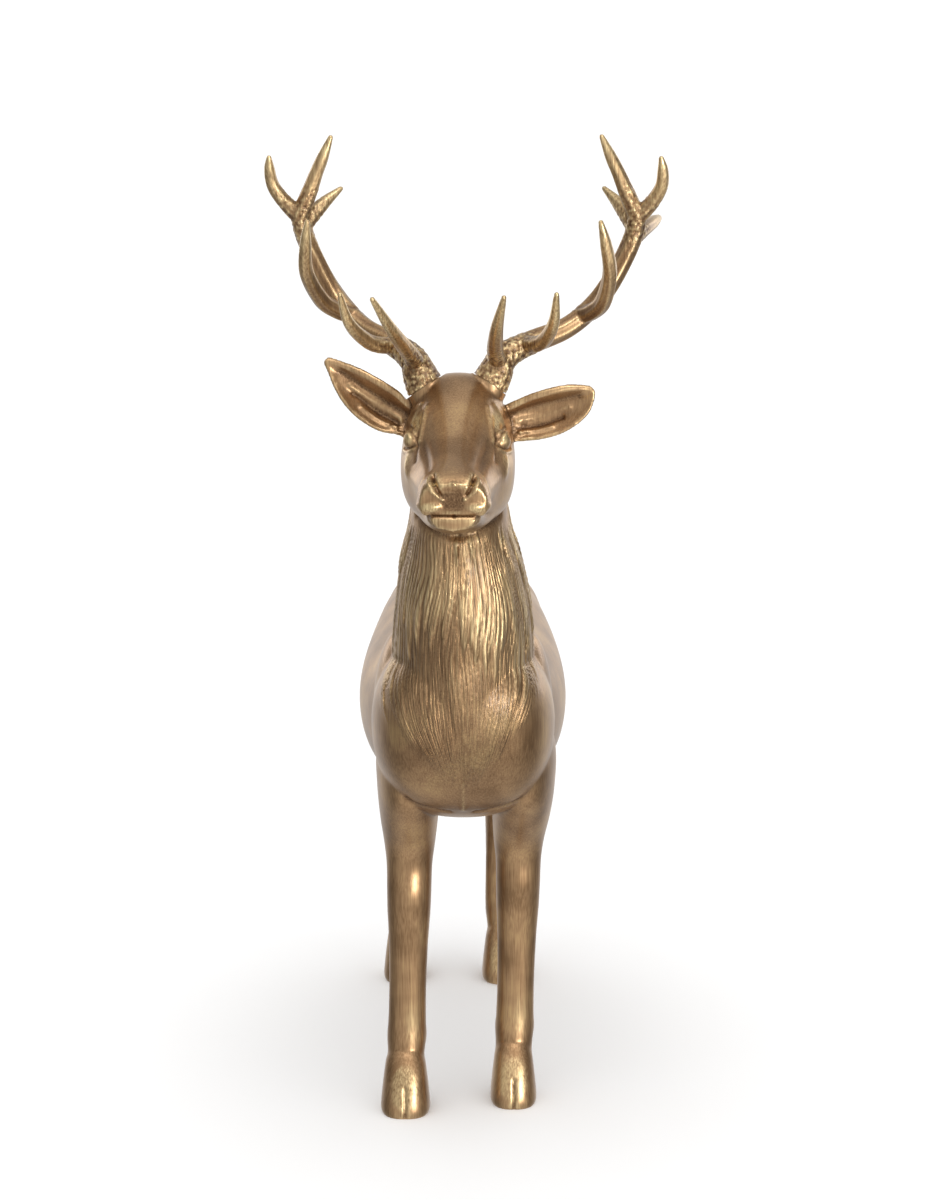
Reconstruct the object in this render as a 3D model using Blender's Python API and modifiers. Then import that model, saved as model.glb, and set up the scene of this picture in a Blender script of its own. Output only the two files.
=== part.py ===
"""A standing stag garden statue: one cast figure with two antlers that plug into its head.

The figure faces -Y and stands on Z = 0. Its free form is written in millimetres for a statue
DRAWN_HEIGHT tall, and UNIT turns those into metres, so the form follows STATUE_HEIGHT.
The joint between antler and head is a fit, and has real sizes of its own.
"""

import math

import bmesh
import bpy
import numpy as np
from mathutils import Matrix, Vector, noise

# Driving dimensions, in metres
STATUE_HEIGHT = 1.51
SPIGOT_RADIUS = 0.0110
SPIGOT_LENGTH = 0.0300
SPIGOT_CLEARANCE = 0.0005
SEAM_GAP = 0.0006
MANE_RELIEF = 0.0065

# The height the tables below are drawn at, in millimetres, and one of those in metres
DRAWN_HEIGHT = 1510
UNIT = STATUE_HEIGHT / DRAWN_HEIGHT

# How finely the cast form is sampled, and how many triangles each solid keeps
BODY_VOXEL = 5.0 * UNIT
ANTLER_VOXEL = 3.2 * UNIT
BODY_TRIANGLES = 6800
ANTLER_TRIANGLES = 1220
DETAIL_FACTOR = 0.0002

# How often the skin is smoothed, and how much less at the head
RELAX_ROUNDS = 12
HEAD_STIFFNESS = 0.75
ANTLER_RELAX_ROUNDS = 3

MANE_DETAIL = 0.75
LEG_DETAIL = 0.35

# Torso: x, y, z of the middle, half width, half height, and how much the top is pinched in
TORSO = (
    (3, -464, 668, 14, 20, 0.05),
    (3, -457, 668, 52, 60, 0.08),
    (3, -436, 660, 94, 102, 0.16),
    (3, -400, 650, 122, 136, 0.26),
    (3, -338, 643, 138, 160, 0.36),
    (3, -260, 638, 139, 163, 0.45),
    (3, -180, 624, 136, 163, 0.42),
    (3, -90, 600, 155, 160, 0.34),
    (2, 0, 594, 168, 158, 0.30),
    (2, 90, 604, 166, 150, 0.26),
    (2, 180, 624, 153, 138, 0.20),
    (1, 265, 640, 138, 126, 0.20),
    (0, 335, 646, 113, 110, 0.22),
    (0, 385, 652, 76, 82, 0.20),
    (0, 408, 656, 34, 42, 0.10),
)

# Middle and half sizes of the shoulder and haunch muscles on the left, from the torso's middle
SHOULDER = ((97, -258, 622), (42, 94, 136))
HAUNCH = ((84, 258, 612), (58, 122, 122))
TORSO_MIDDLE = 3.0
TORSO_SQUARENESS = 2.45

# Neck: x, y, z of the middle, half width, half depth, and how much the nape is pinched in
NECK = (
    (3, -262, 600, 98, 166, 0.20),
    (3, -282, 680, 108, 186, 0.30),
    (3, -308, 750, 106, 168, 0.36),
    (3, -336, 820, 100, 142, 0.36),
    (1, -352, 868, 93, 128, 0.34),
    (0, -362, 902, 86, 118, 0.30),
    (-2, -374, 945, 74, 105, 0.28),
    (-3, -392, 1015, 66, 90, 0.22),
    (-3, -405, 1065, 58, 76, 0.15),
)
NECK_LEAN = 18.0

# Head: y, z of the top, y, z of the underside, half width, pinch of the top, and squareness
HEAD = (
    (-350, 1118, -338, 1040, 30, 0.10, 2.0),
    (-358, 1150, -342, 1000, 54, 0.16, 2.3),
    (-380, 1168, -352, 972, 72, 0.22, 2.7),
    (-408, 1170, -378, 958, 80, 0.28, 2.9),
    (-440, 1156, -412, 954, 83, 0.40, 2.9),
    (-476, 1134, -450, 956, 81, 0.46, 2.8),
    (-510, 1112, -486, 961, 72, 0.46, 2.6),
    (-545, 1092, -520, 972, 60, 0.42, 2.6),
    (-580, 1076, -556, 986, 51, 0.38, 2.7),
    (-606, 1066, -590, 996, 50, 0.34, 3.4),
    (-624, 1057, -612, 998, 49.5, 0.30, 4.4),
    (-633, 1047, -626, 1000, 46.5, 0.28, 4.6),
)
THROAT_Z, JAW_Z = 930, 985
HEAD_SHIFT = -3.0
HEAD_YAW = 1.7
NECK_AXIS_Y = -390.0

# Lower jaw: y, z of the middle, half width, half height
JAW = (
    (-450, 992, 66, 34),
    (-500, 986, 54, 29),
    (-550, 985, 42, 22),
    (-590, 996, 38, 22),
    (-614, 999, 36, 19),
    (-628, 1000, 31, 16),
)
# Pads that swell out of the muzzle: middle and half sizes, on the left half of a straight head
PADS = (((29, -611, 1016), (24, 22, 14)),)

# Legs: z, then from the hoof's middle y, x outward and x to the left, half width, half depth
FORELEG = (
    (690, 24, -16, 10, 36, 78),
    (640, 12, -10, 10, 48, 104),
    (580, 5, 1, 10, 52, 112),
    (520, 5, 3, 10, 49, 104),
    (470, 12, 2, 9, 45, 76),
    (425, 20, 0, 7.5, 39.5, 48),
    (390, 21, 0, 7, 35.5, 36),
    (350, 17, 0, 6.5, 34.5, 35),
    (315, 18, 0, 6, 33.5, 32),
    (262, 20, 0, 5, 31, 28),
    (190, 20, 0, 3.5, 29.5, 26.5),
    (140, 20, 0, 2.5, 30, 28),
    (112, 20, 0, 2, 31, 32),
    (90, 14, 0, 1, 29, 30),
    (76, 9, 0, 0.5, 29, 30),
)
HINDLEG = (
    (705, -62, -22, 8, 40, 62),
    (655, -66, -12, 8, 60, 92),
    (590, -72, -4, 8, 66, 106),
    (520, -78, 2, 7, 60, 98),
    (460, -72, 3, 6, 51, 80),
    (405, -50, 2, 4, 42, 60),
    (360, -14, 0, 2, 36, 47),
    (322, 14, 0, 0, 32, 41),
    (292, 24, 0, -2, 31, 36),
    (250, 26, 0, -3, 29, 28.5),
    (185, 22, 0, -4, 28, 26),
    (138, 20, 0, -3, 29, 28),
    (112, 20, 0, -1, 30, 31),
    (90, 13, 0, 0, 28, 28),
    (76, 8, 0, 0, 28, 29),
)
# Hooves: z, y from the hoof's middle, half width, half depth
HOOF = (
    (96, 6, 22, 22),
    (80, 5, 29, 31),
    (66, 1, 31.5, 36),
    (42, -3, 34.5, 42),
    (18, -6, 37, 46.5),
    (7, -7, 37.5, 47.5),
    (1, -7, 36, 46),
    (-12, -7, 28, 38),
)
HOOF_CLEFT_DEPTH = 3.5
HOOF_CLEFT_WIDTH = 4.0

# Where each hoof stands: x, y, and how wide it is against the table
STANCE = {
    "fore_right": (-87, -296, 1.03),
    "fore_left": (82, -257, 0.97),
    "hind_right": (-100, 315, 1.0),
    "hind_left": (73, 315, 1.0),
}
# Where both forelegs hang at the shoulder, and the heights between which a leg moves over to it
SHOULDER_Y = -277.0
LEG_SHIFT_LOW, LEG_SHIFT_HIGH = 330, 580

# Tail: y, z of the middle, half width, half depth
TAIL = (
    (402, 716, 15, 13),
    (418, 700, 21, 15),
    (429, 668, 20, 14),
    (432, 632, 14, 10),
    (431, 610, 6, 5),
)

# Eyes: x of the left one from the head's middle, y, z, and the ball's radius
EYE = (62, -470, 1084)
EYE_RADIUS = 16.0

# Ears, root to tip: x, y, z of the back's middle, half width, and how deep the bowl is
EARS = {
    "left": (
        (60, -388, 1090, 28, 14),
        (78, -388, 1097, 31, 20),
        (107, -390, 1105, 36, 26),
        (138, -392, 1115, 36.5, 24),
        (166, -391, 1128, 30, 17),
        (183, -389, 1139, 18.5, 10),
        (193, -388, 1146, 6, 4),
    ),
    "right": (
        (-64, -388, 1090, 25, 14),
        (-82, -388, 1102, 28, 18),
        (-108, -388, 1115, 35, 25),
        (-138, -386, 1135, 34.5, 23),
        (-163, -383, 1157, 27, 16),
        (-183, -380, 1176, 15, 9),
        (-197, -379, 1188, 6, 4),
    ),
}
EAR_WALL = 8.0
EAR_OPENS = (0, -1, 0)
EAR_SEGMENTS = 12

# Antlers: points from the middle of the seat, x outward, y back, z up, and the radius there
BEAM = (
    (-11, -3, -20, 28),
    (0, 0, 0, 27.5),
    (9, 2, 17, 25),
    (18, 5, 34, 21.5),
    (36, 13, 47, 19),
    (68, 30, 59, 17),
    (110, 46, 74, 15.5),
    (144, 56, 99, 15),
    (171, 60, 131, 14.5),
    (193, 60, 170, 14),
    (209, 56, 209, 14),
    (215, 50, 244, 13.5),
)
TINES = {
    "brow": (
        (15, 3, 30, 14.5),
        (9, -28, 45, 12.5),
        (7, -60, 61, 11.5),
        (9, -115, 95, 9),
        (18, -165, 142, 4),
    ),
    "bez": (
        (50, 22, 55, 13.5),
        (62, -5, 57, 12),
        (77, -32, 66, 11),
        (90, -70, 96, 8.5),
        (93, -98, 139, 4),
    ),
    "trez": (
        (134, 54, 92, 13),
        (150, 32, 101, 12.5),
        (164, 8, 119, 12),
        (171, -30, 162, 10.5),
        (164, -50, 205, 8.5),
        (156, -62, 237, 4),
    ),
    "crown_inner": (
        (214, 50, 236, 13),
        (200, 50, 266, 12),
        (186, 48, 298, 10),
        (174, 46, 323, 8.5),
        (161, 44, 351, 4),
    ),
    "crown_outer": (
        (217, 50, 238, 12.5),
        (235, 42, 258, 11),
        (247, 30, 281, 9.5),
        (248, 20, 305, 8),
        (245, 12, 322, 4),
    ),
    "crown_back": (
        (210, 56, 220, 12),
        (190, 80, 250, 10),
        (168, 100, 273, 4),
    ),
    "crown_rear": (
        (208, 60, 204, 12.5),
        (226, 100, 214, 11.5),
        (243, 150, 220, 9.5),
        (253, 190, 222, 6),
    ),
}
SEATS = {"left": (42, -392, 1155), "right": (-52, -392, 1151)}
SEAT_LEAN_OUT = 33.0
SEAT_LEAN_BACK = 8.0
SEAT_RADIUS = 28.5
# The right antler stands turned in its socket, in degrees
ANTLER_TURN = {"left": 0.0, "right": 19.0}

# The cast-in boss under each antler: height along the seat's own axis, and radius
BOSS = ((-34, 34), (-12, 30.5), (6, SEAT_RADIUS))

# Mane: the width and length of one lock, and the point the hair runs down to
LOCK_WIDTH = 24.0
LOCK_LENGTH = 135.0
MANE_TIP_Z = 545.0
MANE_REACH = 150.0
MANE_SWAY = 14.0
MANE_MIDDLE_RELIEF = 0.35

# How far the seat cutter reaches, against the seat's radius, and the sizes of the other cutters
CUTTER_MARGIN = 1.25
FLOOR_CUT_DEPTH = 0.2
ANTLER_CUT_HALF_SIDE = 0.08

FINISH = {"colour": (0.40, 0.26, 0.12, 1.0), "roughness": 0.38, "metallic": 0.9}

SIDES = {"left": 1, "right": -1}


def metres(point):
    return Vector(point) * UNIT


def smooth_rows(rows, steps):
    """The rows with steps - 1 more between each two, on a Catmull-Rom curve."""
    table = np.array(rows, float)
    padded = np.vstack([2 * table[0] - table[1], table, 2 * table[-1] - table[-2]])
    found = []
    for i in range(1, len(padded) - 2):
        a, b, c, d = padded[i - 1 : i + 3]
        for t in np.arange(steps) / steps:
            found.append(
                0.5
                * (
                    2 * b
                    + (c - a) * t
                    + (2 * a - 5 * b + 4 * c - d) * t**2
                    + (3 * b - a - 3 * c + d) * t**3
                )
            )
    found.append(table[-1])
    return np.array(found)


def shaped_ring(bm, place, half_width, half_height, pinch, squareness, segments):
    """One closed ring in the plane that place gives, with its top pinched in. Returns its edges."""
    verts = bmesh.ops.create_circle(bm, radius=1, segments=segments)["verts"]
    power = 2 / squareness
    for vert in verts:
        across, up = vert.co.x, vert.co.y
        across = math.copysign(abs(across) ** power, across)
        up = math.copysign(abs(up) ** power, up)
        across *= 1 - pinch * max(0.0, up) ** 1.6
        vert.co = place @ Vector((across * half_width, up * half_height, 0))
    return list({edge for vert in verts for edge in vert.link_edges})


def skin(bm, rings):
    """Joins a run of rings into one closed tube."""
    for lower, upper in zip(rings, rings[1:]):
        bmesh.ops.bridge_loops(bm, edges=lower + upper)
    for end in (rings[0], rings[-1]):
        bmesh.ops.contextual_create(bm, geom=end)


def frame_at(centre, across, up):
    """A ring's plane: its x runs across, its y runs up."""
    across, up = Vector(across).normalized(), Vector(up).normalized()
    along = across.cross(up)
    turn = Matrix((across, up, along)).transposed().to_4x4()
    return Matrix.Translation(metres(centre)) @ turn


def add_torso(bm):
    rings = []
    for x, y, z, width, height, pinch in smooth_rows(TORSO, 4):
        place = frame_at((x, y, z), (1, 0, 0), (0, 0, 1))
        rings.append(
            shaped_ring(bm, place, width * UNIT, height * UNIT, pinch, TORSO_SQUARENESS, 40)
        )
    skin(bm, rings)


def add_muscles(bm):
    for (x, y, z), half_sizes in (SHOULDER, HAUNCH):
        stretch = Matrix.Diagonal((*metres(half_sizes), 1))
        for outward in (1, -1):
            place = Matrix.Translation(metres((TORSO_MIDDLE + outward * x, y, z)))
            bmesh.ops.create_uvsphere(
                bm, u_segments=24, v_segments=14, radius=1, matrix=place @ stretch
            )


def add_neck(bm):
    rings = []
    lean = math.radians(NECK_LEAN)
    for x, y, z, width, depth, pinch in smooth_rows(NECK, 4):
        place = frame_at((x, y, z), (1, 0, 0), (0, math.cos(lean), math.sin(lean)))
        rings.append(shaped_ring(bm, place, width * UNIT, depth * UNIT, pinch, 2.1, 36))
    skin(bm, rings)


def head_turn():
    """Moves a point of a straight head to where the head looks."""
    pivot = metres((0, NECK_AXIS_Y, 0))
    turn = Matrix.Rotation(math.radians(-HEAD_YAW), 4, "Z")
    shift = Matrix.Translation(metres((HEAD_SHIFT, 0, 0)))
    return shift @ Matrix.Translation(pivot) @ turn @ Matrix.Translation(-pivot)


def add_head(bm):
    rings = []
    for top_y, top_z, low_y, low_z, width, pinch, square in smooth_rows(HEAD, 4):
        up = Vector((0, top_y - low_y, top_z - low_z))
        centre = (0, (top_y + low_y) / 2, (top_z + low_z) / 2)
        place = head_turn() @ frame_at(centre, (1, 0, 0), up)
        half_height = up.length / 2 * UNIT
        rings.append(
            shaped_ring(bm, place, width * UNIT, half_height, pinch, square, 40)
        )
    skin(bm, rings)


def add_jaw(bm):
    rings = []
    for y, z, width, height in smooth_rows(JAW, 4):
        place = head_turn() @ frame_at((0, y, z), (1, 0, 0), (0, 0, 1))
        rings.append(shaped_ring(bm, place, width * UNIT, height * UNIT, 0, 2.3, 28))
    skin(bm, rings)


def add_pads(bm):
    for (x, y, z), half_sizes in PADS:
        for side in (1, -1):
            place = head_turn() @ Matrix.Translation(metres((side * x, y, z)))
            stretch = Matrix.Diagonal((*metres(half_sizes), 1))
            bmesh.ops.create_uvsphere(
                bm, u_segments=20, v_segments=12, radius=1, matrix=place @ stretch
            )


def add_eyes(bm):
    for side in (1, -1):
        place = head_turn() @ Matrix.Translation(metres((side * EYE[0], *EYE[1:])))
        bmesh.ops.create_uvsphere(
            bm, u_segments=16, v_segments=10, radius=EYE_RADIUS * UNIT, matrix=place
        )


def add_leg(bm, rows, hoof):
    x, y, _ = STANCE[hoof]
    outward = math.copysign(1, x)
    top_y = SHOULDER_Y if hoof.startswith("fore") else y
    rings = []
    for z, back, out, lean, width, depth in smooth_rows(rows, 4):
        share_up = np.clip((z - LEG_SHIFT_LOW) / (LEG_SHIFT_HIGH - LEG_SHIFT_LOW), 0, 1)
        leg_y = y + (top_y - y) * share_up + back
        place = frame_at((x + outward * out + lean, leg_y, z), (1, 0, 0), (0, 1, 0))
        rings.append(shaped_ring(bm, place, width * UNIT, depth * UNIT, 0, 2.1, 28))
    skin(bm, rings)


def add_hoof(bm, hoof):
    x, y, share = STANCE[hoof]
    rings = []
    for z, back, width, depth in smooth_rows(HOOF, 3):
        place = frame_at((x, y + back, z), (1, 0, 0), (0, 1, 0))
        half_width = share * width * UNIT
        rings.append(shaped_ring(bm, place, half_width, depth * UNIT, 0, 2.5, 28))
    skin(bm, rings)


def add_tail(bm):
    rings = []
    for y, z, width, depth in smooth_rows(TAIL, 3):
        place = frame_at((0, y, z), (1, 0, 0), (0, 1, 0.35))
        rings.append(shaped_ring(bm, place, width * UNIT, depth * UNIT, 0, 2.0, 16))
    skin(bm, rings)


def bowl_ring(bm, place, half_width, bowl, upper):
    """One closed ring round the wall of a cup that opens towards the place's y.

    upper is 1 or -1, the side of the place's x where the thicker, upper rim is."""
    verts = bmesh.ops.create_circle(bm, radius=1, segments=2 * EAR_SEGMENTS)["verts"]
    wall = min(EAR_WALL, half_width)
    for index, vert in enumerate(verts):
        inside = index >= EAR_SEGMENTS
        step = 2 * EAR_SEGMENTS - 1 - index if inside else index
        across = 2 * step / (EAR_SEGMENTS - 1) - 1
        reach, back, lift, shift = half_width, bowl, 0.0, 0.0
        if inside:
            reach, back, lift = half_width - 0.9 * wall, bowl - 0.7 * wall, 0.4 * wall
            shift = -0.35 * wall * upper
        vert.co = place @ metres((reach * across + shift, lift - back * (1 - across**2), 0))
    return list({edge for vert in verts for edge in vert.link_edges})


def add_ear(bm, side):
    """The ear is a cup with a true wall, rooted in the head and opening forward."""
    rows = smooth_rows(EARS[side], 4)
    rings = []
    for i, (*centre, half_width, bowl) in enumerate(rows):
        along = rows[min(i + 1, len(rows) - 1)][:3] - rows[max(i - 1, 0)][:3]
        across = Vector(along).cross(Vector(EAR_OPENS)).normalized()
        place = frame_at(centre, across, across.cross(Vector(along)))
        rings.append(bowl_ring(bm, place, half_width, bowl, -SIDES[side]))
    skin(bm, rings)


def seat_frame(side):
    """The seat of an antler: z stands square to the seat, x points outward."""
    mirror = SIDES[side]
    lean = Matrix.Rotation(math.radians(mirror * SEAT_LEAN_OUT), 4, "Y")
    back = Matrix.Rotation(math.radians(-SEAT_LEAN_BACK), 4, "X")
    return Matrix.Translation(metres(SEATS[side])) @ back @ lean


def add_boss(bm, side):
    rings = []
    for height, radius in smooth_rows(BOSS, 3):
        place = seat_frame(side) @ Matrix.Translation((0, 0, height * UNIT))
        rings.append(shaped_ring(bm, place, radius * UNIT, radius * UNIT, 0, 2, 28))
    skin(bm, rings)


def tube(bm, rows, segments=14):
    """A round tapering tube through points with radii, with a domed end."""
    path = smooth_rows(rows, 5)
    rings = []
    across = Vector((1, 0, 0))
    for i, row in enumerate(path):
        before, after = path[max(i - 1, 0)][:3], path[min(i + 1, len(path) - 1)][:3]
        along = Vector(after - before).normalized()
        across = (across - along * across.dot(along)).normalized()
        place = frame_at(row[:3], across, along.cross(across))
        rings.append(
            shaped_ring(bm, place, row[3] * UNIT, row[3] * UNIT, 0, 2, segments)
        )
    skin(bm, rings)
    end = Matrix.Translation(metres(path[-1][:3]))
    bmesh.ops.create_uvsphere(
        bm, u_segments=8, v_segments=6, radius=path[-1][3] * UNIT, matrix=end
    )


def object_from(bm, name, collection):
    mesh = bpy.data.meshes.new(name)
    bm.to_mesh(mesh)
    bm.free()
    obj = bpy.data.objects.new(name, mesh)
    collection.objects.link(obj)
    return obj


def apply_modifiers(obj):
    """Replaces the object's mesh by what its modifiers make of it."""
    bpy.context.view_layer.update()
    graph = bpy.context.evaluated_depsgraph_get()
    done = bpy.data.meshes.new_from_object(obj.evaluated_get(graph))
    old = obj.data
    obj.modifiers.clear()
    obj.data = done
    done.name = obj.name
    bpy.data.meshes.remove(old)


def fuse(obj, voxel):
    """Melts overlapping shells into one skin."""
    remesh = obj.modifiers.new("fuse", "REMESH")
    remesh.mode = "VOXEL"
    remesh.voxel_size = voxel
    apply_modifiers(obj)


def points_of(obj):
    co = np.empty(len(obj.data.vertices) * 3, np.float32)
    obj.data.vertices.foreach_get("co", co)
    return co.reshape(-1, 3).astype(float)


def normals_of(obj):
    found = np.empty(len(obj.data.vertices) * 3, np.float32)
    obj.data.vertices.foreach_get("normal", found)
    return found.reshape(-1, 3).astype(float)


def set_points(obj, co):
    obj.data.vertices.foreach_set("co", co.astype(np.float32).ravel())
    obj.data.update()


def relax(obj, weights, rounds):
    """Smooths the skin, each vertex by its own weight. Every second step puffs it back out."""
    ends = np.empty(len(obj.data.edges) * 2, np.int32)
    obj.data.edges.foreach_get("vertices", ends)
    a, b = ends.reshape(-1, 2).T
    co = points_of(obj)
    count = np.bincount(a, minlength=len(co)) + np.bincount(b, minlength=len(co))
    for step in range(rounds * 2):
        total = np.zeros_like(co)
        for axis in range(3):
            total[:, axis] = np.bincount(a, co[b, axis], len(co))
            total[:, axis] += np.bincount(b, co[a, axis], len(co))
        factor = 0.6 if step % 2 == 0 else -0.56
        co += (total / count[:, None] - co) * (weights * factor)[:, None]
    set_points(obj, co)


def ramp(value, low, high):
    t = np.clip((value - low) / (high - low), 0, 1)
    return t * t * (3 - 2 * t)


def mane_cover(co):
    """How much of the mane grows at each point, 0 to 1."""
    x, y, z = (co / UNIT).T
    x = np.abs(x - TORSO_MIDDLE)
    low_edge = MANE_TIP_Z + 1.15 * x + 0.006 * x**2
    below_jaw = 1 - ramp(z, 925, 965)
    return ramp(z, low_edge, low_edge + 40) * below_jaw * (1 - ramp(y, -320, -235))


def mane_locks(co):
    """Relief of the hair locks, 0 in the grooves and 1 on the ridges."""
    x, y, z = (co / UNIT).T
    neck_axis = -270 - 0.15 * (z - 640)
    around = np.arctan2(x - TORSO_MIDDLE, neck_axis - y) * MANE_REACH
    spread = 0.35 + 0.65 * ramp(z, MANE_TIP_Z, MANE_TIP_Z + 190)
    sway = np.array([noise.noise(Vector((u / 70, v / 150, 3.1))) for u, v in zip(around, z)])
    column = (around / spread + MANE_SWAY * sway) / LOCK_WIDTH
    index = np.floor(column)
    across = 2 * (column - index) - 1
    fall = (z / LOCK_LENGTH + 0.37 * index) % 1
    narrowing = 0.5 + 0.5 * ramp(fall, 0.0, 0.4)
    ridge = np.clip(1 - (across / narrowing) ** 2, 0, 1)
    return ridge * (1 - 0.55 * fall)


def stroke_distance(co, points):
    """Distance of each vertex from a run of straight pieces."""
    nearest = np.full(len(co), np.inf)
    for start, end in zip(points, points[1:]):
        start, end = np.array(metres(start)), np.array(metres(end))
        run = end - start
        share = np.clip((co - start) @ run / (run @ run), 0, 1)
        away = np.linalg.norm(co - start - share[:, None] * run, axis=1)
        nearest = np.minimum(nearest, away)
    return nearest


def carve(co, normals, points, width, depth):
    """Presses a groove of that width into the skin along the points. A negative depth raises it."""
    away = stroke_distance(co, points) / (width * UNIT)
    return co - normals * (np.exp(-(away**2)) * depth * UNIT)[:, None]


# Face carving, on the left half of a straight head: points, width and depth
FACE = {
    "nostril": (((13, -646, 1030), (20, -640, 1044), (24, -628, 1057)), 5.0, 10.0),
    "nostril_rim": (((27, -634, 1030), (33, -622, 1046), (30, -606, 1062)), 4.0, -3.0),
    "mouth": (
        ((0, -650, 1002), (28, -642, 1002), (44, -618, 1003), (50, -580, 1010)),
        4.0,
        6.0,
    ),
    "brow": (((46, -436, 1132), (58, -462, 1112), (61, -486, 1096)), 8.0, -5.0),
    "eye_corner": (((66, -490, 1074), (60, -504, 1066)), 5.0, 4.0),
    "lower_lid": (((74, -450, 1070), (70, -478, 1064)), 5.0, -3.0),
    "cheek_bone": (((68, -500, 1058), (60, -540, 1044), (50, -580, 1038)), 10.0, -3.0),
    "jaw": (((60, -530, 1002), (74, -470, 990), (70, -430, 998)), 12.0, -3.0),
}
# The fold where the forelegs leave the chest, and the keel of the breast
CHEST = {
    "leg_fold_left": (((24, -388, 508), (50, -386, 517), (82, -372, 534)), 8.0, 4.0),
    "leg_fold_right": (((-18, -388, 508), (-44, -386, 517), (-76, -372, 534)), 8.0, 4.0),
    "keel": (((3, -360, 490), (3, -430, 550)), 10.0, -4.0),
}


def carve_face(co, normals):
    turn = head_turn()
    for points, width, depth in FACE.values():
        for side in (1, -1):
            placed = [
                turn @ metres((side * x, y, z)) / UNIT for x, y, z in points
            ]
            co = carve(co, normals, placed, width, depth)
    return co


def carve_chest(co, normals):
    for points, width, depth in CHEST.values():
        co = carve(co, normals, points, width, depth)
    return co


def carve_hooves(co, normals):
    for x, y, _ in STANCE.values():
        line = ((x, y - 38, 62), (x, y - 48, 34), (x, y - 56, 0))
        co = carve(co, normals, line, HOOF_CLEFT_WIDTH, HOOF_CLEFT_DEPTH)
    return co


def at_head(co):
    """0 below the throat, 1 from the jaw up."""
    return ramp(co[:, 2] / UNIT, THROAT_Z, JAW_Z)


def detail_weight(co):
    """Where the form must keep its detail: 1 at the head and ears, 0 on the back."""
    legs = LEG_DETAIL * (1 - ramp(co[:, 2] / UNIT, 440, 520))
    return np.maximum.reduce([at_head(co), MANE_DETAIL * mane_cover(co), legs])


def keep_triangles(obj, count, weights=None):
    """Thins the skin to a triangle count, sparing the places that the weights mark."""
    triangulate = obj.modifiers.new("triangles", "TRIANGULATE")
    triangulate.quad_method = "BEAUTY"
    apply_modifiers(obj)
    thin = obj.modifiers.new("thin", "DECIMATE")
    thin.ratio = count / len(obj.data.polygons)
    if weights is not None:
        group = obj.vertex_groups.new(name="open_form")
        for index, weight in enumerate(1 - 0.95 * weights):
            group.add([index], float(weight), "REPLACE")
        thin.vertex_group = group.name
        thin.vertex_group_factor = DETAIL_FACTOR
    apply_modifiers(obj)
    obj.vertex_groups.clear()


def cut_or_join(obj, other, operation):
    boolean = obj.modifiers.new(operation.lower(), "BOOLEAN")
    boolean.operation = operation
    boolean.solver = "EXACT"
    boolean.object = other
    apply_modifiers(obj)
    bpy.data.objects.remove(other)


def cylinder(name, collection, place, radius, low, high, segments=32):
    bm = bmesh.new()
    middle = place @ Matrix.Translation((0, 0, (low + high) / 2))
    bmesh.ops.create_cone(
        bm,
        cap_ends=True,
        segments=segments,
        radius1=radius,
        radius2=radius,
        depth=high - low,
        matrix=middle,
    )
    return object_from(bm, name, collection)


def block(name, collection, place, half_side, low, high):
    bm = bmesh.new()
    size = Matrix.Diagonal((2 * half_side, 2 * half_side, high - low, 1))
    middle = place @ Matrix.Translation((0, 0, (low + high) / 2))
    bmesh.ops.create_cube(bm, size=1, matrix=middle @ size)
    return object_from(bm, name, collection)


def finish_material():
    material = bpy.data.materials.new("aged gold paint on cast resin")
    material.use_nodes = True
    shader = material.node_tree.nodes["Principled BSDF"]
    shader.inputs["Base Color"].default_value = FINISH["colour"]
    shader.inputs["Roughness"].default_value = FINISH["roughness"]
    shader.inputs["Metallic"].default_value = FINISH["metallic"]
    material.diffuse_color = FINISH["colour"]
    return material


def make_figure(parts, cutters):
    bm = bmesh.new()
    add_torso(bm)
    add_muscles(bm)
    add_neck(bm)
    add_head(bm)
    add_jaw(bm)
    add_pads(bm)
    add_eyes(bm)
    for hoof in STANCE:
        add_leg(bm, FORELEG if hoof.startswith("fore") else HINDLEG, hoof)
        add_hoof(bm, hoof)
    add_tail(bm)
    for side in SIDES:
        add_ear(bm, side)
        add_boss(bm, side)
    figure = object_from(bm, "stag_figure", parts)
    fuse(figure, BODY_VOXEL)
    relax(figure, 1 - HEAD_STIFFNESS * at_head(points_of(figure)), RELAX_ROUNDS)
    co, normals = points_of(figure), normals_of(figure)
    relief = mane_cover(co) * (mane_locks(co) - MANE_MIDDLE_RELIEF)
    co += normals * (relief * MANE_RELIEF)[:, None]
    co = carve_face(co, normals)
    co = carve_chest(co, normals)
    set_points(figure, carve_hooves(co, normals))
    keep_triangles(figure, BODY_TRIANGLES, detail_weight(points_of(figure)))
    ground = Matrix.Identity(4)
    floor = block("floor", cutters, ground, STATUE_HEIGHT, -FLOOR_CUT_DEPTH, 0)
    cut_or_join(figure, floor, "DIFFERENCE")
    for side in SIDES:
        place = seat_frame(side)
        cutter_radius = CUTTER_MARGIN * SEAT_RADIUS * UNIT
        above = cylinder("seat", cutters, place, cutter_radius, 0, 2 * cutter_radius)
        cut_or_join(figure, above, "DIFFERENCE")
        bore = SPIGOT_RADIUS + SPIGOT_CLEARANCE
        depth = SPIGOT_LENGTH + SPIGOT_CLEARANCE
        hole = cylinder("socket", cutters, place, bore, -depth, bore)
        cut_or_join(figure, hole, "DIFFERENCE")
    return figure


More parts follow.
